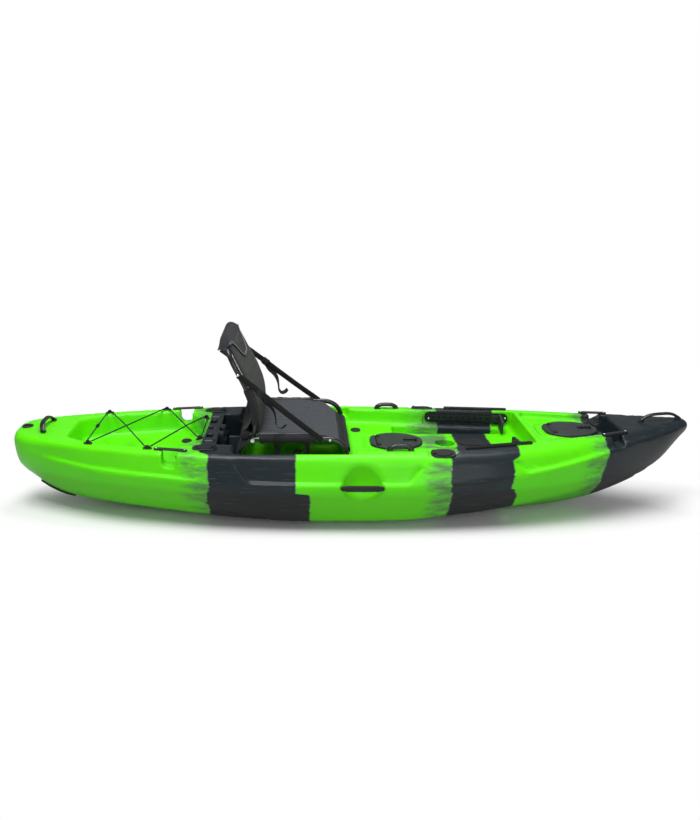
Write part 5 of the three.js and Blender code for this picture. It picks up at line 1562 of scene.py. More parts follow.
@dataclass
class Hull:
    """The moulded hull."""

    palette: Palette
    grid: HullField
    adaptivity: float = 0.15
    triangles: int = 190000
    start: np.ndarray = field(init=False)
    whole: np.ndarray = field(init=False)

    def __post_init__(self) -> None:
        """Works out the field over both halves and where its grid starts."""
        half = self.grid.field()
        self.whole = np.concatenate([half[:, :0:-1], half], 1)
        self.start = np.array((self.grid.x[0], -self.grid.y[-1], self.grid.z[0]))

    def build(self) -> None:
        """Makes the hull's skin, thinned and smoothly shaded."""
        verts, faces = self.surface()
        obj = mesh_object("hull_shell", verts, faces, self.palette["hull"])
        outward(obj)
        count = sum(len(p.vertices) - 2 for p in obj.data.polygons)
        if count > self.triangles:
            thin = obj.modifiers.new("thin", "DECIMATE")
            thin.ratio = self.triangles / count
            baked(obj)
        self.shade(obj)
        hold(obj, "hull")

    def surface(self) -> tuple[np.ndarray, list]:
        """Turns the field into a surface.

        Returns:
            The points and the faces.
        """
        limit = 3 * self.grid.voxel
        vdb = openvdb.FloatGrid(limit)
        vdb.copyFromArray(np.clip(self.whole, -limit, limit).astype(np.float32), tolerance=0.0)
        points, tris, quads = vdb.convertToPolygons(0.0, self.adaptivity)
        verts = np.asarray(points, float) * self.grid.voxel + self.start
        return verts, [tuple(f) for f in tris] + [tuple(f) for f in quads]

    def shade(self, obj) -> None:
        """Shades the surface by the field's own slope.

        Args:
            obj: The hull.
        """
        h = self.grid.voxel
        co = np.empty(len(obj.data.vertices) * 3)
        obj.data.vertices.foreach_get("co", co)
        co = co.reshape(-1, 3)
        normals = np.empty_like(co)
        for k in range(3):
            step = np.zeros(3)
            step[k] = h * 0.7
            ahead, behind = (sampled(self.whole, self.start, h, co + way * step) for way in (1, -1))
            normals[:, k] = ahead - behind
        normals /= np.maximum(np.linalg.norm(normals, axis=1), 1e-9)[:, None]
        obj.data.normals_split_custom_set_from_vertices([tuple(n) for n in normals])


RAIL_Y, RAIL_Z, RAIL_R = 0.265, 0.415, 0.011
LOOP_REAR, LOOP_FRONT, LOOP_BEND = -0.487, -0.036, 0.085
CROSS_Z, CROSS_R, CROSS_HALF = 0.3445, 0.0125, 0.297
BACK_Y = 0.232
BACK_TOP = (-0.550, 0.818)
BACK_CORNER = 0.120
# The middle line of the back's side tubes, from below the pivot up: (x, z)
BACK_LINE = ((-0.435, 0.403), (-0.427, 0.430), (-0.422, 0.469), (-0.424, 0.505), (-0.429, 0.544),
             (-0.441, 0.580), (-0.457, 0.623), (-0.476, 0.666), (-0.496, 0.705))
# The sling from the rear tube forward: x, height over its top, half width and bulge
SLING_ROWS = (
    (-0.449, -0.005, 0.238, 0.010), (-0.430, 0.0, 0.240, 0.015), (-0.400, 0.0, 0.246, 0.0185),
    (-0.340, 0.0, 0.248, 0.024), (-0.2885, 0.0, 0.249, 0.026), (-0.230, 0.0, 0.248, 0.0245),
    (-0.190, -0.002, 0.246, 0.0215), (-0.165, -0.006, 0.239, 0.0177), (-0.125, -0.009, 0.236, 0.0166),
    (-0.095, -0.026, 0.226, 0.0088), (-0.066, -0.046, 0.214, 0.0022),
)
SLING_RISE = 0.0128
SLING_WRAP = 0.0168
SKIRT_ROWS = (
    (-0.4305, 0.540, 0.224, 0.0), (-0.4340, 0.505, 0.226, -0.002), (-0.4450, 0.472, 0.228, -0.004),
    (-0.4600, 0.450, 0.230, -0.003), (-0.4740, 0.4405, 0.232, 0.0),
)
ROLL_HALF, ROLL_RADIUS, ROLL_X, ROLL_Z = 0.2535, 0.0196, -0.466, 0.421
# The back panel's half width and bulge, from its lower edge up, and how far it stands off the hoop
PANEL_HALF = (0.228, 0.231, 0.232, 0.232, 0.231, 0.228, 0.219, 0.212, 0.206)
PANEL_BULGE = (0.006, 0.010, 0.013, 0.014, 0.013, 0.011, 0.009, 0.006, 0.002)
PANEL_GAP = 0.0145
PANEL_TOP = 0.76
# The tie from the sling's edge round the rail to its foot, and the loose loop in front of it
TIE_LINE = (
    (-0.330, 0.2635, 0.4330), (-0.330, 0.277, 0.4290), (-0.330, RAIL_Y + 0.0178, 0.4150),
    (-0.330, 0.276, 0.3980), (-0.330, RAIL_Y, 0.380), (-0.330, RAIL_Y, 0.352),
    (-0.330, RAIL_Y + 0.001, 0.3335),
)
TIE_FOOT_Z = 0.3320
LOOSE_LINE = (
    (-0.203, 0.270, 0.4005), (-0.203, 0.268, 0.372), (-0.206, 0.266, 0.350), (-0.222, 0.262, 0.3420),
    (-0.244, 0.258, 0.3400), (-0.256, 0.256, 0.3460), (-0.246, 0.255, 0.3530), (-0.226, 0.256, 0.3500),
)
BOLTS = ((-0.107, 0.2755, 0.4125), (-0.399, 0.2755, 0.4145))
# Where a back strap's webbing lies: (share of the way down, rise above the straight line)
STRAP_SAG = ((0, 0), (0.08, 0), (0.25, 0), (0.5, -0.002), (0.75, -0.002), (0.93, 0), (1, 0))
# The loose end of a back strap, hanging from its buckle: (x, z)
TAIL_LINE = ((-0.405, 0.616), (-0.389, 0.600), (-0.376, 0.578), (-0.355, 0.556), (-0.341, 0.530),
             (-0.335, 0.500), (-0.333, 0.477), (-0.321, 0.461), (-0.304, 0.464), (-0.292, 0.477))


def cross_grid(rows: np.ndarray, shares: np.ndarray) -> np.ndarray:
    """Lays a sheet across the boat from rows of (x, z, half width, bulge).

    Args:
        rows: The sheet's middle line, half widths and bulges.
        shares: Places across the sheet, from -1 to 1.

    Returns:
        The grid of points.
    """
    along = np.gradient(rows[:, :2], axis=0)
    along /= np.linalg.norm(along, axis=1)[:, None]
    out_x, out_z = along[:, 1], -along[:, 0]
    bulge = rows[:, 3:4] * (1 - shares**2)
    x = rows[:, :1] + out_x[:, None] * bulge
    z = rows[:, 1:2] + out_z[:, None] * bulge
    y = rows[:, 2:3] * shares
    return np.stack([x, y, z], 2)


def flat_grid(xs: np.ndarray, halves: np.ndarray, columns: int, z: float) -> np.ndarray:
    """Lays a level sheet across the boat, with its columns closest at the edges.

    Args:
        xs: The places along the boat.
        halves: The sheet's half width at each place.
        columns: How many points go across.
        z: The sheet's height.

    Returns:
        The grid of points.
    """
    y = halves[:, None] * np.sin(np.linspace(-math.pi / 2, math.pi / 2, columns))
    return np.stack([np.broadcast_to(xs[:, None], y.shape), y, np.full(y.shape, z)], 2)


def groove(distance: np.ndarray, depth: float, width: float) -> np.ndarray:
    """The dip, below zero, that a seam makes at some distance from it."""
    return -depth * np.exp(-((distance / width) ** 2))


def put_heads(scatter: Scatter, palette: Palette, name: str, profile: Sequence, places: Sequence[Point],
              turns: Sequence[Point], body: str = ROOT) -> None:
    """Puts turned screw heads at many places.

    Args:
        scatter: What repeats them.
        palette: The materials.
        name: The piece's name.
        profile: A head's (radius, height) points.
        places: Where each head goes.
        turns: Each head's turns about X, Y and Z, in radians.
        body: The body that they ride on.
    """
    heads = scatter(name, lathe("head", profile, 20), places, turns, palette["screw"])
    hold(heads, None, body)


@dataclass
class Seat:
    """The framed seat: tubes, sling, back, straps and ties."""

    palette: Palette
    scatter: Scatter
    pan_thick: float = 0.007
    panel_thick: float = 0.012
    webbing: float = 0.025
    webbing_thick: float = 0.0024
    strap_top: Point = (-0.4885, 0.2460, 0.688)
    strap_foot: Point = (-0.141, 0.2785, 0.415)

    def build(self) -> None:
        """Makes every piece of the seat."""
        self.frame()
        self.pan()
        self.roll()
        self.back()
        self.hood()
        for side in Side:
            self.strap(side)
            self.tie(side)
        self.screws()

    def frame(self) -> None:
        """Makes the bent side loops, the cross tubes and the back's hoop."""
        frame = self.palette["frame"]
        rise = RAIL_Z - CROSS_Z
        turns = np.linspace(0, math.pi / 2, 15)
        rear = [(LOOP_REAR + LOOP_BEND * (1 - math.cos(t)), CROSS_Z + rise * math.sin(t)) for t in turns]
        front = [(LOOP_FRONT - LOOP_BEND * (1 - math.cos(t)), CROSS_Z + rise * math.sin(t))
                 for t in turns[::-1]]
        for side in Side:
            path = np.array([(x, side.sign * RAIL_Y, z) for x, z in [*rear, *front]])
            loop = profile_sweep(f"seat_loop_{side.label}", path, circle(RAIL_R, 24), frame, up=(1, 0, 0))
            hold(loop, f"seat_side_loop_{side.label}")
        for end, x in (("front", LOOP_FRONT), ("rear", LOOP_REAR)):
            bar = tube(f"cross_{end}", [(x, -CROSS_HALF + 0.004, CROSS_Z), (x, CROSS_HALF - 0.004, CROSS_Z)],
                       CROSS_R, frame)
            ends = [tube(f"cap_{end}_{s.label}",
                         [(x, s.sign * (CROSS_HALF - 0.016), CROSS_Z), (x, s.sign * CROSS_HALF, CROSS_Z)],
                         0.0142, self.palette["rubber"], ends=0.4) for s in Side]
            hold(joined(f"seat_cross_{end}", [bar, *ends]), f"seat_{end}_tube")
        hoop = tube("seat_hoop", self.hoop_line(), RAIL_R, frame, count=200, up=(1, 0, 0))
        hold(hoop, "back_frame", BACK)

    @staticmethod
    def hoop_line() -> list[Point]:
        """The middle line of the back's hoop, from port over the top to starboard.

        Returns:
            The points.
        """
        port = [(x, BACK_Y, z) for x, z in BACK_LINE]
        low = np.array(BACK_LINE[-1])
        up = np.array(BACK_TOP) - low
        reach = np.linalg.norm(up) - BACK_CORNER
        up /= np.linalg.norm(up)
        for t in np.linspace(0, math.pi / 2, 9):
            spot = low + up * (reach + BACK_CORNER * math.sin(t))
            port.append((spot[0], BACK_Y - BACK_CORNER * (1 - math.cos(t)), spot[1]))
        return [*port, *[(x, -y, z) for x, y, z in reversed(port)]]

    def pan(self) -> None:
        """Makes the seat's sling: a padded middle, hemmed sleeves round the rails and piping."""
        top = RAIL_Z + SLING_RISE
        rows = [(x, top + rise, half, bulge) for x, rise, half, bulge in SLING_ROWS]
        for turn in (125, 95, 60, 25, -10, -45):
            a = math.radians(turn)
            rows.append((LOOP_FRONT + SLING_WRAP * math.cos(a), CROSS_Z + SLING_WRAP * math.sin(a),
                         0.212, 0.0))
        shares = np.linspace(-1, 1, 81)
        grid = cross_grid(smooth_path(rows, 150), shares)
        x, y = grid[..., 0], grid[..., 1]
        flat = np.clip((-0.10 - x) / 0.08, 0, 1)
        relief = groove(np.abs(np.abs(y) - 0.205), 0.0022, 0.0035) * flat
        relief += groove(np.abs(x + 0.198), 0.0018, 0.004)
        relief += groove(np.abs(x + 0.412), 0.0020, 0.004)
        patchy = 0.6 + 0.4 * np.sin(x * 21 + y * 9)
        creases = (0.0021 * np.sin(y * 82 + 2.4 * np.sin(x * 9) + 0.6) * patchy
                   + 0.0013 * np.sin(y * 150 + 3.0 * np.sin(x * 8 + 1.3) + 2.0)
                   + 0.0007 * np.sin(y * 260 - x * 16))
        relief += creases * flat * (1 - np.clip((np.abs(y) - 0.16) / 0.05, 0, 1))
        for sign in (-1, 1):
            diagonal = (x + 0.395) * 0.62 - (sign * y - 0.20) * -0.78
            relief += groove(diagonal, 0.0020, 0.006) * (x < -0.24) * (sign * y > 0.05)
        relief = relief + 0.0025 * (1 - shares**2) * flat
        pan = slab("seat_pan", grid, self.pan_thick, self.palette["fabric"], relief, edge=0.010)
        pan.data.materials.append(self.palette["hem"])
        for face in pan.data.polygons:
            face.material_index = int(face.center.x > -0.0635)
        hold(pan, "seat_sling")
        for side in Side:
            self.sleeve(side)

    def sleeve(self, side: Side) -> None:
        """Makes the hemmed sleeve round one side rail, with its piping.

        Args:
            side: The side of the boat.
        """
        around = [(0.216, 0.4195), (0.232, 0.4235), (0.246, 0.4285), (0.256, 0.4305)]
        for turn in np.linspace(75, -150, 16):
            a = math.radians(turn)
            around.append((RAIL_Y + 0.0152 * math.cos(a), RAIL_Z + 0.0152 * math.sin(a)))
        around.append((0.2475, 0.4085))
        around.append((0.236, 0.4150))
        line = smooth_path(around, 44)
        along = np.linspace(-0.404, -0.166, 48)
        puff = 1 + 0.05 * np.sin(along * 95) + 0.03 * np.sin(along * 210 + 1)
        rows = []
        for x, swell in zip(along, puff):
            y = RAIL_Y + (line[:, 0] - RAIL_Y) * np.where(line[:, 0] > 0.25, swell, 1)
            z = RAIL_Z + (line[:, 1] - RAIL_Z) * np.where(line[:, 0] > 0.25, swell, 1)
            rows.append(np.stack([np.full(len(line), x), y * side.sign, z], 1))
        grid = np.array(rows)
        if side is Side.PORT:
            grid = grid[::-1]
        hem = slab(f"seat_hem_{side.label}", grid, 0.0035, self.palette["hem"], 0.0, edge=0.004)
        hold(hem, None)
        points = [(x, side.sign * (0.2480 + 0.0006 * math.sin(x * 60)), 0.4325) for x in
                  np.linspace(-0.402, -0.170, 24)]
        piping = tube(f"seat_piping_{side.label}", points, 0.0022, self.palette["piping"], sides=10)
        hold(piping, None)

    def roll(self) -> None:
        """Makes the stuffed roll behind the seat."""
        ends = np.array([0.236, 0.245, 0.250, 0.2528, ROLL_HALF])
        ys = np.concatenate([-ends[:0:-1], np.linspace(-ends[0], ends[0], 61), ends[1:]])
        radius = ROLL_RADIUS * full_near_end(ROLL_HALF - np.abs(ys), 0.014, 0.45)
        sides = 36
        verts, places = [], []
        for y, r in zip(ys, radius):
            for k in range(sides):
                a = 2 * math.pi * k / sides
                puff = 0.018 * math.sin(y * 70 + 2 * math.cos(a)) + 0.012 * math.sin(y * 160 + 3 * a)
                swell = r * (1 + puff)
                verts.append((ROLL_X + swell * math.cos(a), y, ROLL_Z + swell * math.sin(a)))
                places.append((ROLL_RADIUS * a, y))
        faces = [(i * sides + k, i * sides + (k + 1) % sides, (i + 1) * sides + (k + 1) % sides,
                  (i + 1) * sides + k) for i in range(len(ys) - 1) for k in range(sides)]
        faces += [tuple(range(sides)), tuple(range(len(verts) - 1, len(verts) - 1 - sides, -1))]
        obj = mesh_object("seat_roll", verts, faces, self.palette["hem"])
        outward(obj)
        set_uv(obj, np.array(places))
        hold(obj, "seat_rear_roll")
        grid = cross_grid(smooth_path(SKIRT_ROWS, 40), np.linspace(-1, 1, 41))
        skirt = slab("seat_skirt", grid[::-1], 0.003, self.palette["panel"])
        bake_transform(skirt)

    def back(self) -> None:
        """Makes the back's padded panel, the sleeves at its sides and the lacing above them."""
        low, top = np.array(BACK_LINE[-1]), np.array(BACK_TOP)
        line = [*BACK_LINE[1:], tuple(low + (top - low) * PANEL_TOP)]
        rows = np.array([(x, z, half, bulge) for (x, z), half, bulge in zip(line, PANEL_HALF, PANEL_BULGE)])
        along = np.gradient(rows[:, :2], axis=0)
        along /= np.linalg.norm(along, axis=1)[:, None]
        rows[:, 0] += along[:, 1] * PANEL_GAP
        rows[:, 1] -= along[:, 0] * PANEL_GAP
        shares = np.linspace(-1, 1, 73)
        grid = cross_grid(smooth_path(rows, 110), shares)
        y, z = grid[..., 1], grid[..., 2]
        relief = groove(np.abs(np.abs(y) - 0.198), 0.0020, 0.004)
        inner = 1 - np.clip((np.abs(y) - 0.15) / 0.05, 0, 1)
        relief += 0.0010 * np.sin(y * 150 + 1.5 * np.sin(z * 12)) * inner
        relief += groove(np.abs(z - 0.470), 0.0016, 0.004) + groove(np.abs(z - 0.640), 0.0012, 0.005)
        panel = slab("back_panel", grid[:, ::-1], self.panel_thick, self.palette["panel"],
                     relief[:, ::-1] + 0.002, edge=0.012)
        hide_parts("back_sling")
        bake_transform(panel)
        log.info("%s: %d faces", panel.name, len(panel.data.polygons))
        for side in Side:
            points = [(x, side.sign * BACK_Y, z) for x, z in BACK_LINE[2:7]]
            sleeve = tube(f"back_sleeve_{side.label}", points, 0.0142, self.palette["hood"], count=40,
                          up=(1, 0, 0), ends=0.2)
            hold(sleeve, None, BACK)
            self.lacing(side)

    def lacing(self, side: Side) -> None:
        """Laces the panel to the hoop above the sleeve.

        Args:
            side: The side of the boat.
        """
        low, top = np.array(BACK_LINE[-1]), np.array(BACK_TOP)
        up = (top - low) / np.linalg.norm(top - low)
        out = np.array((up[1], -up[0]))
        points = []
        for i in range(15):
            spot = low + up * (-0.055 + 0.0085 * i) + out * 0.010
            y = BACK_Y - 0.011 if i % 2 else 0.210
            points.append((spot[0], side.sign * y, spot[1]))
        lace = tube(f"back_lace_{side.label}", points, 0.0020, self.palette["stitch"], sides=8)
        hold(lace, None, BACK)

    def hood(self) -> None:
        """Makes the hood over the hoop's top, with the stitched tongue at its front and painted shade along
        its open lower edge.
        """
        low, top = np.array(BACK_LINE[-1]), np.array(BACK_TOP)
        rise = float(np.linalg.norm(top - low))
        up = (top - low) / rise
        ahead = np.array((up[1], -up[0]))
        deep = RAIL_R + 0.0055
        bend, reach = BACK_CORNER + RAIL_R + 0.0045, BACK_Y - BACK_CORNER
        peak = rise - BACK_CORNER
        shares = np.sin(np.linspace(-math.pi / 2, math.pi / 2, 61))
        ys = shares * 0.2405
        crown = np.where(np.abs(ys) > reach,
                         peak + np.sqrt(np.maximum(bend**2 - (np.abs(ys) - reach) ** 2, 0)), peak + bend)
        tongue = 0.100 - 0.100 * np.exp(-((ys / 0.128) ** 4))
        steps = np.sin(np.linspace(0, math.pi / 2, 34))
        sheets = []
        for way in (1, -1):
            bottom = tongue if way > 0 else np.full_like(ys, 0.102)
            v = bottom + steps[:, None] * (crown - bottom)
            gap = np.where((np.abs(ys) > reach) & (v > peak),
                           bend - np.hypot(np.abs(ys) - reach, v - peak), crown - v)
            gap = np.clip(gap, 0, deep)
            w = way * np.sqrt(np.maximum(deep**2 - (deep - gap) ** 2, 0))
            if way > 0:
                w = w + 0.015 * np.sqrt(1 - shares**2) * (1 - steps[:, None]) ** 0.8
            else:
                w = w - 0.024 * (1 - steps[:, None]) ** 1.3
            sheets.append(np.stack([low[0] + up[0] * v + ahead[0] * w, np.broadcast_to(ys, v.shape),
                                    low[1] + up[1] * v + ahead[1] * w], 2))
        verts = np.concatenate([s.reshape(-1, 3) for s in sheets])
        faces, rim = shell_faces(*sheets[0].shape[:2])
        obj = mesh_object("back_hood", verts, faces, self.palette["hood"])
        obj.data.materials.append(self.palette["dark"])
        # Painted shade: the faces along the open lower edge are black, standing in for the shade inside the
        # hood
        for face in list(obj.data.polygons)[-rim:]:
            shade_in_opening = min(verts[k][2] for k in face.vertices) < low[1] + 0.112
            face.material_index = int(shade_in_opening)
        outward(obj, weld=0.0002)
        co = np.array([v.co for v in obj.data.vertices])
        set_uv(obj, co[:, 1:])
        hold(obj, None, BACK)
        lift = deep + 0.0006 + 0.015 * np.sqrt(1 - shares**2)
        line = np.stack([low[0] + up[0] * (tongue + 0.003) + ahead[0] * lift, ys,
                         low[1] + up[1] * (tongue + 0.003) + ahead[1] * lift], 1)[9:-9]
        seam = tube("back_hood_piping", smooth_path(line, 90), 0.0012, self.palette["piping"], sides=8)
        hold(seam, None, BACK)
        inner = line + np.array((up[0], 0, up[1])) * 0.008 + np.array((ahead[0], 0, ahead[1])) * 0.0004
        self.stitch("back_hood_stitch", inner, BACK)

    def stitch(self, name: str, line: np.ndarray, body: str) -> None:
        """Sews a row of stitches along a line.

        Args:
            name: The piece's name.
            line: The points that it follows.
            body: The body that it rides on.
        """
        spots = smooth_path(line, max(int(lengths_along(line)[-1] / 0.0065), 4))
        ways = np.gradient(spots, axis=0)
        stamp = rounded_box(f"{name}_one", (0.0010, 0.0014, 0.0048), 0.0004, self.palette["stitch"])
        hold(self.scatter(name, stamp, spots, [turn_to(w) for w in ways], self.palette["stitch"]),
             None, body)

    def ribbon(self, name: str, points: Sequence[Point], count: int = 60, twist=None, up: Point = (0, 0, 1)):
        """Makes a length of webbing with soft edges.

        Args:
            name: The object's name.
            points: Its middle line.
            count: How many rings it has.
            twist: The turn of each ring from its usual stand, in radians, or None.
            up: The way the webbing's width lies at its start.

        Returns:
            The webbing's object.
        """
        w, t = self.webbing / 2, self.webbing_thick / 2
        soft = t * 0.6
        outline = np.array([(-t, -w + soft), (-soft, -w), (soft, -w), (t, -w + soft), (t, w - soft),
                            (soft, w), (-soft, w), (-t, w - soft)])
        return profile_sweep(name, smooth_path(points, count), outline, self.palette["webbing"], up=up,
                             twist=twist)

    def strap(self, side: Side) -> None:
        """Makes one back strap: collars, webbing, buckle and loose end.

        Args:
            side: The side of the boat.
        """
        name, webbing = side.label, self.palette["webbing"]
        across = Vector((1, side.sign, 1))
        top, foot = Vector(self.strap_top) * across, Vector(self.strap_foot) * across

        def at(share: float, lift: float = 0.0) -> Point:
            """The place at a share of the way down the strap, lifted off its straight line."""
            return tuple(top.lerp(foot, share) + Vector((0, 0, lift)))

        line = [at(share, lift) for share, lift in STRAP_SAG]
        pieces = [self.ribbon(f"web_{name}", line)]
        low, over = BACK_LINE[-2], BACK_LINE[-1]
        lean = Vector((over[0] - low[0], 0, over[1] - low[1])).normalized()
        middle = Vector((top[0], side.sign * BACK_Y, top[2]))
        pieces.append(tube(f"upper_{name}", [middle - lean * 0.0125, middle + lean * 0.0125], 0.0138, webbing,
                           up=(1, 0, 0), ends=0.12))
        pieces.append(tube(f"lower_{name}", [(foot[0] - 0.013, side.sign * RAIL_Y, RAIL_Z),
                                             (foot[0] + 0.013, side.sign * RAIL_Y, RAIL_Z)], 0.0140, webbing,
                           ends=0.12))
        fall = math.atan2(top[2] - foot[2], foot[0] - top[0])
        spot = Vector(at(0.265))
        stand = Matrix.Translation(spot) @ Matrix.Rotation(fall, 4, "Y")
        black = self.palette["fitting"]
        pieces.append(rounded_box(f"buckle_{name}", (0.034, 0.008, 0.031), 0.0028, black, stand))
        for step in (-0.011, 0.011):
            pieces.append(rounded_box(f"bar_{name}_{step}", (0.006, 0.012, 0.033), 0.0024, black,
                                      stand @ Matrix.Translation((step, 0, 0))))
        y = at(0.25)[1] * 1.004
        tail = [(x, y + side.sign * 0.004 * math.sin(i * 0.9), z) for i, (x, z) in enumerate(TAIL_LINE)]
        swing = np.interp(np.linspace(0, 1, 70), (0, 0.25, 0.6, 1), (0.15, 0.5, 1.35, 1.5))
        pieces.append(self.ribbon(f"tail_{name}", tail, 70, swing * side.sign, up=(0.6, 0, 0.8)))
        strap = joined(f"back_strap_web_{name}", pieces)
        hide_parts(f"back_strap_{name}")
        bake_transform(strap)

    def tie(self, side: Side) -> None:
        """Makes the webbing tie below one rail, and the loose loop in front of it.

        Args:
            side: The side of the boat.
        """
        points = [(x, side.sign * y, z) for x, y, z in TIE_LINE]
        w, t = self.webbing / 2, self.webbing_thick / 2
        outline = np.array([(-w, -t), (w, -t), (w, t), (-w, t)])
        band = profile_sweep(f"tie_{side.label}", smooth_path(points, 50), outline, self.palette["webbing"],
                             up=(0, -side.sign * 0.2, 1))
        plate = rounded_box(f"tie_foot_{side.label}", (0.034, 0.024, 0.0034), 0.0012, self.palette["fitting"],
                            Matrix.Translation((TIE_LINE[0][0], side.sign * RAIL_Y, TIE_FOOT_Z)))
        hold(joined(f"seat_tie_web_{side.label}", [band, plate]), f"seat_tie_{side.label}")
        drop = [(x, side.sign * y, z) for x, y, z in LOOSE_LINE]
        loose = profile_sweep(f"seat_loose_web_{side.label}", smooth_path(drop, 60), outline * (0.8, 1),
                              self.palette["webbing"], up=(1, 0, 0), turn=math.pi / 2)
        hold(loose, None)

    def screws(self) -> None:
        """Puts the bright bolt heads on the tubes."""
        places = [(x, side.sign * y, z) for side in Side for x, y, z in BOLTS]
        turns = [turn_to((0, side.sign, 0.15)) for side in Side for _ in BOLTS]
        head = [(0, 0), (0.0052, 0), (0.0050, 0.0016), (0.0034, 0.0028), (0, 0.0032)]
        put_heads(self.scatter, self.palette, "seat_bolts", head, places, turns)
        places = [(self.strap_top[0], side.sign * 0.2478, self.strap_top[2]) for side in Side]
        turns = [turn_to((0, side.sign, 0)) for side in Side]
        head = [(0, 0), (0.0056, 0), (0.0052, 0.0018), (0.0034, 0.0030), (0, 0.0034)]
        put_heads(self.scatter, self.palette, "back_bolts", head, places, turns, BACK)


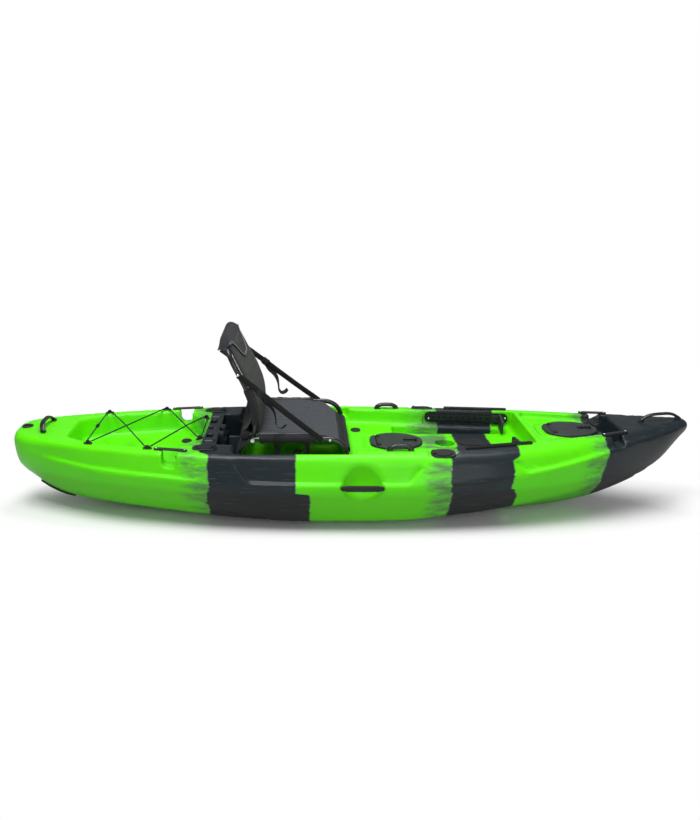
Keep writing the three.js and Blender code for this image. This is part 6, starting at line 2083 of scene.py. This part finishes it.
@dataclass
class Fittings:
    """The small fittings that are moulded apart from the hull."""

    palette: Palette
    scatter: Scatter
    nodes: dict
    lid_thick: float = 0.0165
    lid_gap: float = 0.0018
    screw_inset: float = 0.010
    track_inset: float = 0.014
    cord_thick: float = 0.006

    def build(self) -> None:
        """Makes every fitting."""
        for side in Side:
            self.side_handle(side)
            self.arch(f"grip_handle_{side.label}", thick=0.0085)
        self.arch("stern_handle", across=True, lift=0.010, lean=-0.014)
        self.arch("bow_handle", climb=0.014, lift=-0.006)
        for hatch in HATCHES:
            self.lid(hatch)
            self.rim(hatch)
        self.screws()
        self.bungee()

    def side_handle(self, side: Side) -> None:
        """Makes one padded side handle, slimmer at its ends.

        Args:
            side: The side of the boat.
        """
        low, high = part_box(f"side_handle_{side.label}")
        outer = max(abs(low[1]), abs(high[1]))
        inner = min(abs(low[1]), abs(high[1]))
        middle, mid_z = (low[0] + high[0]) / 2, (low[2] + high[2]) / 2
        half, tall = (high[0] - low[0]) / 2, (high[2] - low[2]) / 2
        thick = (outer - inner) / 2
        path = np.array([(middle + half * t, side.sign * (inner + outer) / 2, mid_z)
                         for t in np.linspace(-1, 1, 72)])
        outline = squared_oval(thick, tall, (0.72, 0.62), 32)
        obj = profile_sweep(f"side_pad_{side.label}", path, outline, self.palette["rubber"])
        co = np.array([v.co for v in obj.data.vertices])
        t = (co[:, 0] - middle) / half
        slim = np.where(np.abs(t) > 0.72, 0.86, 1.0) * np.sqrt(np.clip(1 - (np.abs(t)) ** 14, 0.02, 1))
        ribs = 1 - 0.035 * (np.abs(t) < 0.66) * (0.5 + 0.5 * np.cos(t * half * 2 * math.pi / 0.0075))
        co[:, 2] = mid_z + (co[:, 2] - mid_z) * slim * ribs
        centre = side.sign * (inner + outer) / 2
        co[:, 1] = centre + (co[:, 1] - centre) * np.minimum(slim + 0.05, 1) * ribs
        obj.data.vertices.foreach_set("co", co.astype(np.float32).ravel())
        obj.data.update()
        hold(obj, f"side_handle_{side.label}")

    def arch(self, node: str, across: bool = False, climb: float = 0.0, thick: float = 0.0062,
             lift: float = 0.0, lean: float = 0.0) -> None:
        """Makes one arched carry handle with its two feet.

        Args:
            node: The CAD node that it stands for.
            across: Whether it runs across the boat instead of along it.
            climb: How far the deck rises from one foot to the other.
            thick: Half the grip's thickness.
            lift: How far the grip's middle is raised.
            lean: How far the grip's middle leans towards the bow.
        """
        low, high = (np.array(corner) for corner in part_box(node))
        way = np.array((0.0, 1.0, 0.0) if across else (1.0, 0.0, 0.0))
        middle = np.array(((low[0] + high[0]) / 2, (low[1] + high[1]) / 2, low[2]))
        size = high - low
        half, width = (size[1], size[0]) if across else (size[0], size[1])
        half, width = half / 2, width * 0.40
        tall = size[2] - thick - climb * 0.5 + lift
        rises = ((-1.0, 0.20), (-0.93, 0.26), (-0.80, 0.52), (-0.62, 0.80), (-0.38, 0.96), (0.0, 1.0))
        rises = (*rises, *[(-t, r) for t, r in reversed(rises[:-1])])
        line = [middle + way * half * 0.93 * t + (lean * r, 0, tall * r + climb * (t + 1) / 2)
                for t, r in rises]
        outline = squared_oval(width, thick, (0.7, 0.8), 28)
        pieces = [profile_sweep("arch", smooth_path(line, 90), outline, self.palette["frame"], edge=0.003)]
        for end in (-1, 1):
            spot = middle + way * end * (half - 0.0132) + (0, 0, 0.0033 + climb * (end + 1) / 2)
            tilt = Matrix.Rotation(-math.atan2(climb, 2 * half), 4, "Y")
            foot = (width * 2.1, 0.026, 0.0062) if across else (0.026, width * 2.1, 0.0062)
            pieces.append(rounded_box(f"foot_{end}", foot, 0.0026, self.palette["frame"],
                                      Matrix.Translation(spot) @ tilt))
        hold(joined(f"{node}_arch", pieces), node)

    def lid(self, hatch: Hatch) -> None:
        """Makes one hatch lid: a rounded plate with a sunk arc, two hinge clips and two finger dimples with
        painted shade in them.

        Args:
            hatch: The hatch.
        """
        low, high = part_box(f"{hatch.name}_hatch_lid")
        top = high[2]
        xs = low[0] + (high[0] - low[0]) * np.sin(np.linspace(0.0, math.pi / 2, 70))
        halves = self.halves(hatch, xs) * full_near_end(high[0] - xs, 0.024, 0.30)
        halves = softened(halves[:, None], 1.5, 0)[:, 0]
        grid = flat_grid(xs, halves, 73, top - self.lid_thick / 2 - self.lid_gap)
        x, y = grid[..., 0], grid[..., 1]
        centre = high[0] - 0.066
        reach = np.hypot(x - centre, y)
        relief = groove(reach - 0.044, 0.0032, 0.0024) * (x > centre - 0.040)
        relief = relief + 0.0012 * (1 - (y / 0.11) ** 2)
        relief += groove(x - low[0] - 0.010, 0.0022, 0.0016)
        for way in (-1, 1):
            relief += -0.0042 * np.exp(-((((x - high[0] + 0.030) / 0.0075) ** 2
                                          + ((y - way * 0.012) / 0.0062) ** 2) ** 2))
        plate = slab("plate", grid, self.lid_thick, self.palette["lid"], relief, edge=0.005)
        clips = [rounded_box(f"clip_{way}", (0.016, 0.022, 0.005), 0.0016, self.palette["dark"],
                             Matrix.Translation((low[0] + 0.010, way * 0.052, top - 0.0004)))
                 for way in (-1, 1)]
        # Painted shade: dark discs in the two dimples stand in for the shade inside the finger holes
        holes = [lathe(f"hole_{way}", [(0, -0.0008), (0.0058, -0.0008), (0.0052, 0.0004), (0, 0.0005)], 20,
                       self.palette["dark"]) for way in (-1, 1)]
        for way, hole in zip((-1, 1), holes):
            hole.data.transform(Matrix.Translation((high[0] - 0.030, way * 0.012, top - 0.0040)))
        hold(joined(f"{hatch.name}_lid_plate", [plate, *clips, *holes]), f"{hatch.name}_hatch_lid",
             f"{hatch.name}_lid")

    @staticmethod
    def eased(hatch: Hatch) -> np.ndarray:
        """Rounds off the corners of a hatch's outline.

        Args:
            hatch: The hatch.

        Returns:
            The outline's points.
        """
        line = smooth_path(hatch.outline(), 240, True)
        spread = np.exp(-0.5 * (np.arange(-20, 21) / 7) ** 2)
        spread /= spread.sum()
        return sum(np.roll(line, k - 20, 0) * share for k, share in enumerate(spread))

    def halves(self, hatch: Hatch, xs: np.ndarray) -> np.ndarray:
        """Reads half the width of a hatch, less the gap round its lid.

        Args:
            hatch: The hatch.
            xs: Places along the boat.

        Returns:
            The half width at each place.
        """
        port = self.eased(hatch)
        port = port[port[:, 1] >= 0]
        port = port[np.argsort(port[:, 0])]
        return np.interp(xs, port[:, 0], port[:, 1]) - self.lid_gap

    def rim(self, hatch: Hatch) -> None:
        """Makes the rim round one hatch, with the strip behind its hinge.

        Args:
            hatch: The hatch.
        """
        low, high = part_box(f"{hatch.name}_hatch_rim")
        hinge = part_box(f"{hatch.name}_hatch_lid")[0][0]
        outline = self.eased(hatch)
        path = np.column_stack([outline, np.full(len(outline), (low[2] + high[2]) / 2)])
        middle = path.mean(0)
        path = middle + (path - middle) * (0.965, 0.955, 1)
        tall = (high[2] - low[2]) / 2 - 0.0045
        ring = profile_sweep("ring", smooth_path(path, 160, True), np.array(
            [(-0.0034, -tall), (0.0034, -tall), (0.0034, tall - 0.002), (0.0016, tall), (-0.0016, tall),
             (-0.0034, tall - 0.002)]), self.palette["fitting"], closed=True)
        xs = np.linspace(low[0] + 0.0004, hinge - 0.0016, 16)
        halves = self.halves(hatch, xs) * full_near_end(xs - low[0], 0.020, 0.72)
        grid = flat_grid(xs, halves, 49, high[2] - 0.0085)
        strip = slab("strip", grid, 0.0155, self.palette["lid"], 0.0006, edge=0.005)
        hold(joined(f"{hatch.name}_rim_ring", [ring, strip]), f"{hatch.name}_hatch_rim")

    def screws(self) -> None:
        """Puts bright screws on the tie bars, with cross slots drawn as dark bars of painted shade, and plain
        ones in the tracks.
        """
        heads = []
        for name in ("stern_bar", "bow_bar"):
            for side in Side:
                node = f"{name}_{side.label}"
                low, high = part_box(node)
                heads += [self.top_of(self.nodes[node], x)
                          for x in (low[0] + self.screw_inset, high[0] - self.screw_inset)]
        cuts = [(x, y, z + 0.0022) for x, y, z in heads]
        turns = [(0.0, 0.0, x * 37.0) for x, _, _ in heads]
        head = [(0, -0.0012), (0.0044, -0.0012), (0.0044, 0.0004), (0.0034, 0.0017), (0.0016, 0.0023),
                (0, 0.0024)]
        put_heads(self.scatter, self.palette, "screws", head, heads, turns)
        ends, ways = [], []
        for side in Side:
            low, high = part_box(f"footrest_track_{side.label}")
            inner = min(abs(low[1]), abs(high[1])) * side.sign
            for x in (low[0] + self.track_inset, high[0] - self.track_inset):
                ends.append((x, inner, (low[2] + high[2]) / 2 + 0.005))
                ways.append(turn_to((0, -side.sign, 0)))
        put_heads(self.scatter, self.palette, "track_screws", head, ends, ways)
        # Painted shade: the cross slots are dark bars laid on the heads, not cut recesses
        bars = [rounded_box("slot", size, 0.0002, self.palette["dark"])
                for size in ((0.0044, 0.0009, 0.0008), (0.0009, 0.0044, 0.0008))]
        hold(self.scatter("screw_slots", joined("cross", bars), cuts, turns, self.palette["dark"]),
             None)

    @staticmethod
    def top_of(node, x: float) -> Point:
        """Finds the middle of a long fitting's top face.

        Args:
            node: The fitting's CAD node.
            x: Where along the boat.

        Returns:
            The point, a little under the face.
        """
        hits = []
        corners = [node.matrix_world @ v.co for v in node.data.vertices]
        for edge in node.data.edges:
            a, b = (corners[k] for k in edge.vertices)
            if (a.x - x) * (b.x - x) <= 0 and abs(a.x - b.x) > 1e-6:
                hits.append(a.lerp(b, (x - a.x) / (b.x - a.x)))
        ys = [spot.y for spot in hits]
        top = max(spot.z for spot in hits)
        return (x, (min(ys) + max(ys)) / 2, top - 0.0006)

    def bungee(self) -> None:
        """Makes the elastic cord over the tank well, taut between its hooks."""
        points = np.array([*CORD_ROUTE, *[(x, -y, z) for x, y, z in reversed(CORD_ROUTE) if y]])
        parts = []
        for a, b in zip(points[:-1], points[1:]):
            steps = max(int(np.linalg.norm(b - a) / 0.006), 1)
            parts.append(a + (b - a) * np.linspace(0, 1, steps, endpoint=False)[:, None])
        path = np.concatenate([*parts, points[-1:]])
        cord = profile_sweep("bungee", path, circle(self.cord_thick / 2, 14), self.palette["cord"])
        hold(cord, "bungee_cord")


# The elastic cord's middle line, from the stern's lock round the hooks on its way forward. The way back is
# its mirror image without the points at Y = 0, where the way forward is lifted over it.
CORD_ROUTE = (
    (-1.1510, 0.0004, 0.3806), (-1.1510, 0.2054, 0.3806), (-1.1495, 0.2099, 0.3806),
    (-1.1456, 0.2125, 0.3806), (-1.1409, 0.2122, 0.3806), (-1.1374, 0.2090, 0.3806),
    (-1.0267, 0.0000, 0.3865), (-0.8847, -0.2638, 0.3782), (-0.8820, -0.2665, 0.3782),
    (-0.8782, -0.2675, 0.3782), (-0.8745, -0.2664, 0.3782), (-0.8719, -0.2635, 0.3782),
    (-0.7443, 0.0000, 0.3848), (-0.6786, 0.1433, 0.3775), (-0.6751, 0.1466, 0.3775),
    (-0.6703, 0.1471, 0.3775), (-0.6663, 0.1445, 0.3775), (-0.6648, 0.1400, 0.3775),
)


def make_camera() -> None:
    """Puts the camera at the photograph's viewing angle."""
    data = bpy.data.cameras.new("camera")
    data.lens = 34.24
    data.shift_x = 0.0622
    data.clip_end = 60
    camera = linked("camera", data)
    camera.location = (-0.237, -3.34, 1.565)
    camera.rotation_euler = (math.radians(90 - 18.3688), 0, 0)
    bpy.context.scene.camera = camera


@dataclass(frozen=True)
class Lamp:
    """A soft studio lamp."""

    name: str
    place: Point
    target: Point
    power: float
    size: float


LAMPS = (
    Lamp("key", (-1.1, -1.7, 4.4), (0.0, 0.0, 0.2), 170.0, 1.8),
    Lamp("top", (0.5, 0.7, 4.6), (0.0, 0.0, 0.2), 130.0, 2.6),
    Lamp("front", (1.4, -4.6, 1.9), (0.1, 0.0, 0.2), 58.0, 2.6),
)


def make_light() -> None:
    """Lights the stage softly, with a white background behind it."""
    for lamp in LAMPS:
        data = bpy.data.lights.new(lamp.name, "AREA")
        data.energy = lamp.power
        data.size = lamp.size
        light = linked(lamp.name, data)
        light.location = lamp.place
        way = Vector(lamp.target) - Vector(lamp.place)
        light.rotation_euler = way.to_track_quat("-Z", "Y").to_euler()
    world = bpy.data.worlds.new("studio")
    world.use_nodes = True
    bpy.context.scene.world = world
    n = Nodes(world.node_tree)
    soft = world.node_tree.nodes["Background"]
    n.set(soft, Color=WHITE, Strength=0.26)
    white = n.add("ShaderNodeBackground", Color=WHITE, Strength=1.0)
    seen = n.add("ShaderNodeLightPath").outputs["Is Camera Ray"]
    n.feed(world.node_tree.nodes["World Output"].inputs["Surface"], n.blend(seen, soft, white))
    bpy.context.scene.view_settings.view_transform = "Standard"


def make_floor(palette: Palette) -> None:
    """Lays a plain pale floor.

    Args:
        palette: The materials.
    """
    material, n, shader = palette.start("floor")
    coords = n.coords()
    seen = n.add("ShaderNodeLightPath").outputs["Is Camera Ray"]
    pale = n.mix(n.noise(coords, 0.6, 2.0), (0.88, 0.88, 0.88), (0.91, 0.91, 0.91))
    n.set(shader, Base_Color=n.mix(seen, (0.55, 0.55, 0.55), pale), Roughness=0.9)
    x, y, _ = n.split(coords)
    reach = n.math("SQRT", n.plus(n.times(n.times(x, x), 0.035), n.times(y, y)))
    white = n.add("ShaderNodeEmission", Color=WHITE)
    far = n.times(seen, n.step(reach, 0.25, 0.41))
    n.feed(material.node_tree.nodes["Material Output"].inputs["Surface"], n.blend(far, shader, white))
    size = 30.0
    floor = mesh_object("floor", [(-size, -size, 0), (size, -size, 0), (size, size, 0), (-size, size, 0)],
                        [(0, 1, 2, 3)], material, smooth=False)
    floor.location.z = -0.0005


NODE_FINISH = (
    (("rod_cap", "scupper_plug", "skid_plate"), "rubber"),
    (("mid_hatch_lid", "bow_hatch_lid", "foot_pedal"), "lid"),
    (("seat_side_loop", "seat_front_tube", "seat_rear_tube", "back_frame"), "frame"),
    (("seat_sling", "back_sling", "seat_rear_roll"), "fabric"),
    (("back_strap", "seat_tie"), "webbing"),
    (("bungee_cord",), "cord"),
    (("seat_pivot_bolt",), "steel"),
)


def dress_nodes(frame: dict, palette: Palette) -> None:
    """Gives every CAD node its material.

    Args:
        palette: The materials.
    """
    for name, obj in frame["nodes"].items():
        finish = "fitting"
        for starts, value in NODE_FINISH:
            if name.startswith(starts):
                finish = value
        obj.data.materials.clear()
        obj.data.materials.append(palette[finish])


def main() -> None:
    """Builds the scene."""
    logging.basicConfig(level=logging.INFO, format="%(message)s")
    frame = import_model()
    make_camera()
    make_light()
    palette = Palette()
    make_floor(palette)
    dress_nodes(frame, palette)
    Hull(palette, HullField(Lines())).build()
    scatter = Scatter()
    Seat(palette, scatter).build()
    Fittings(palette, scatter, frame["nodes"]).build()


if __name__ == "__main__":
    main()
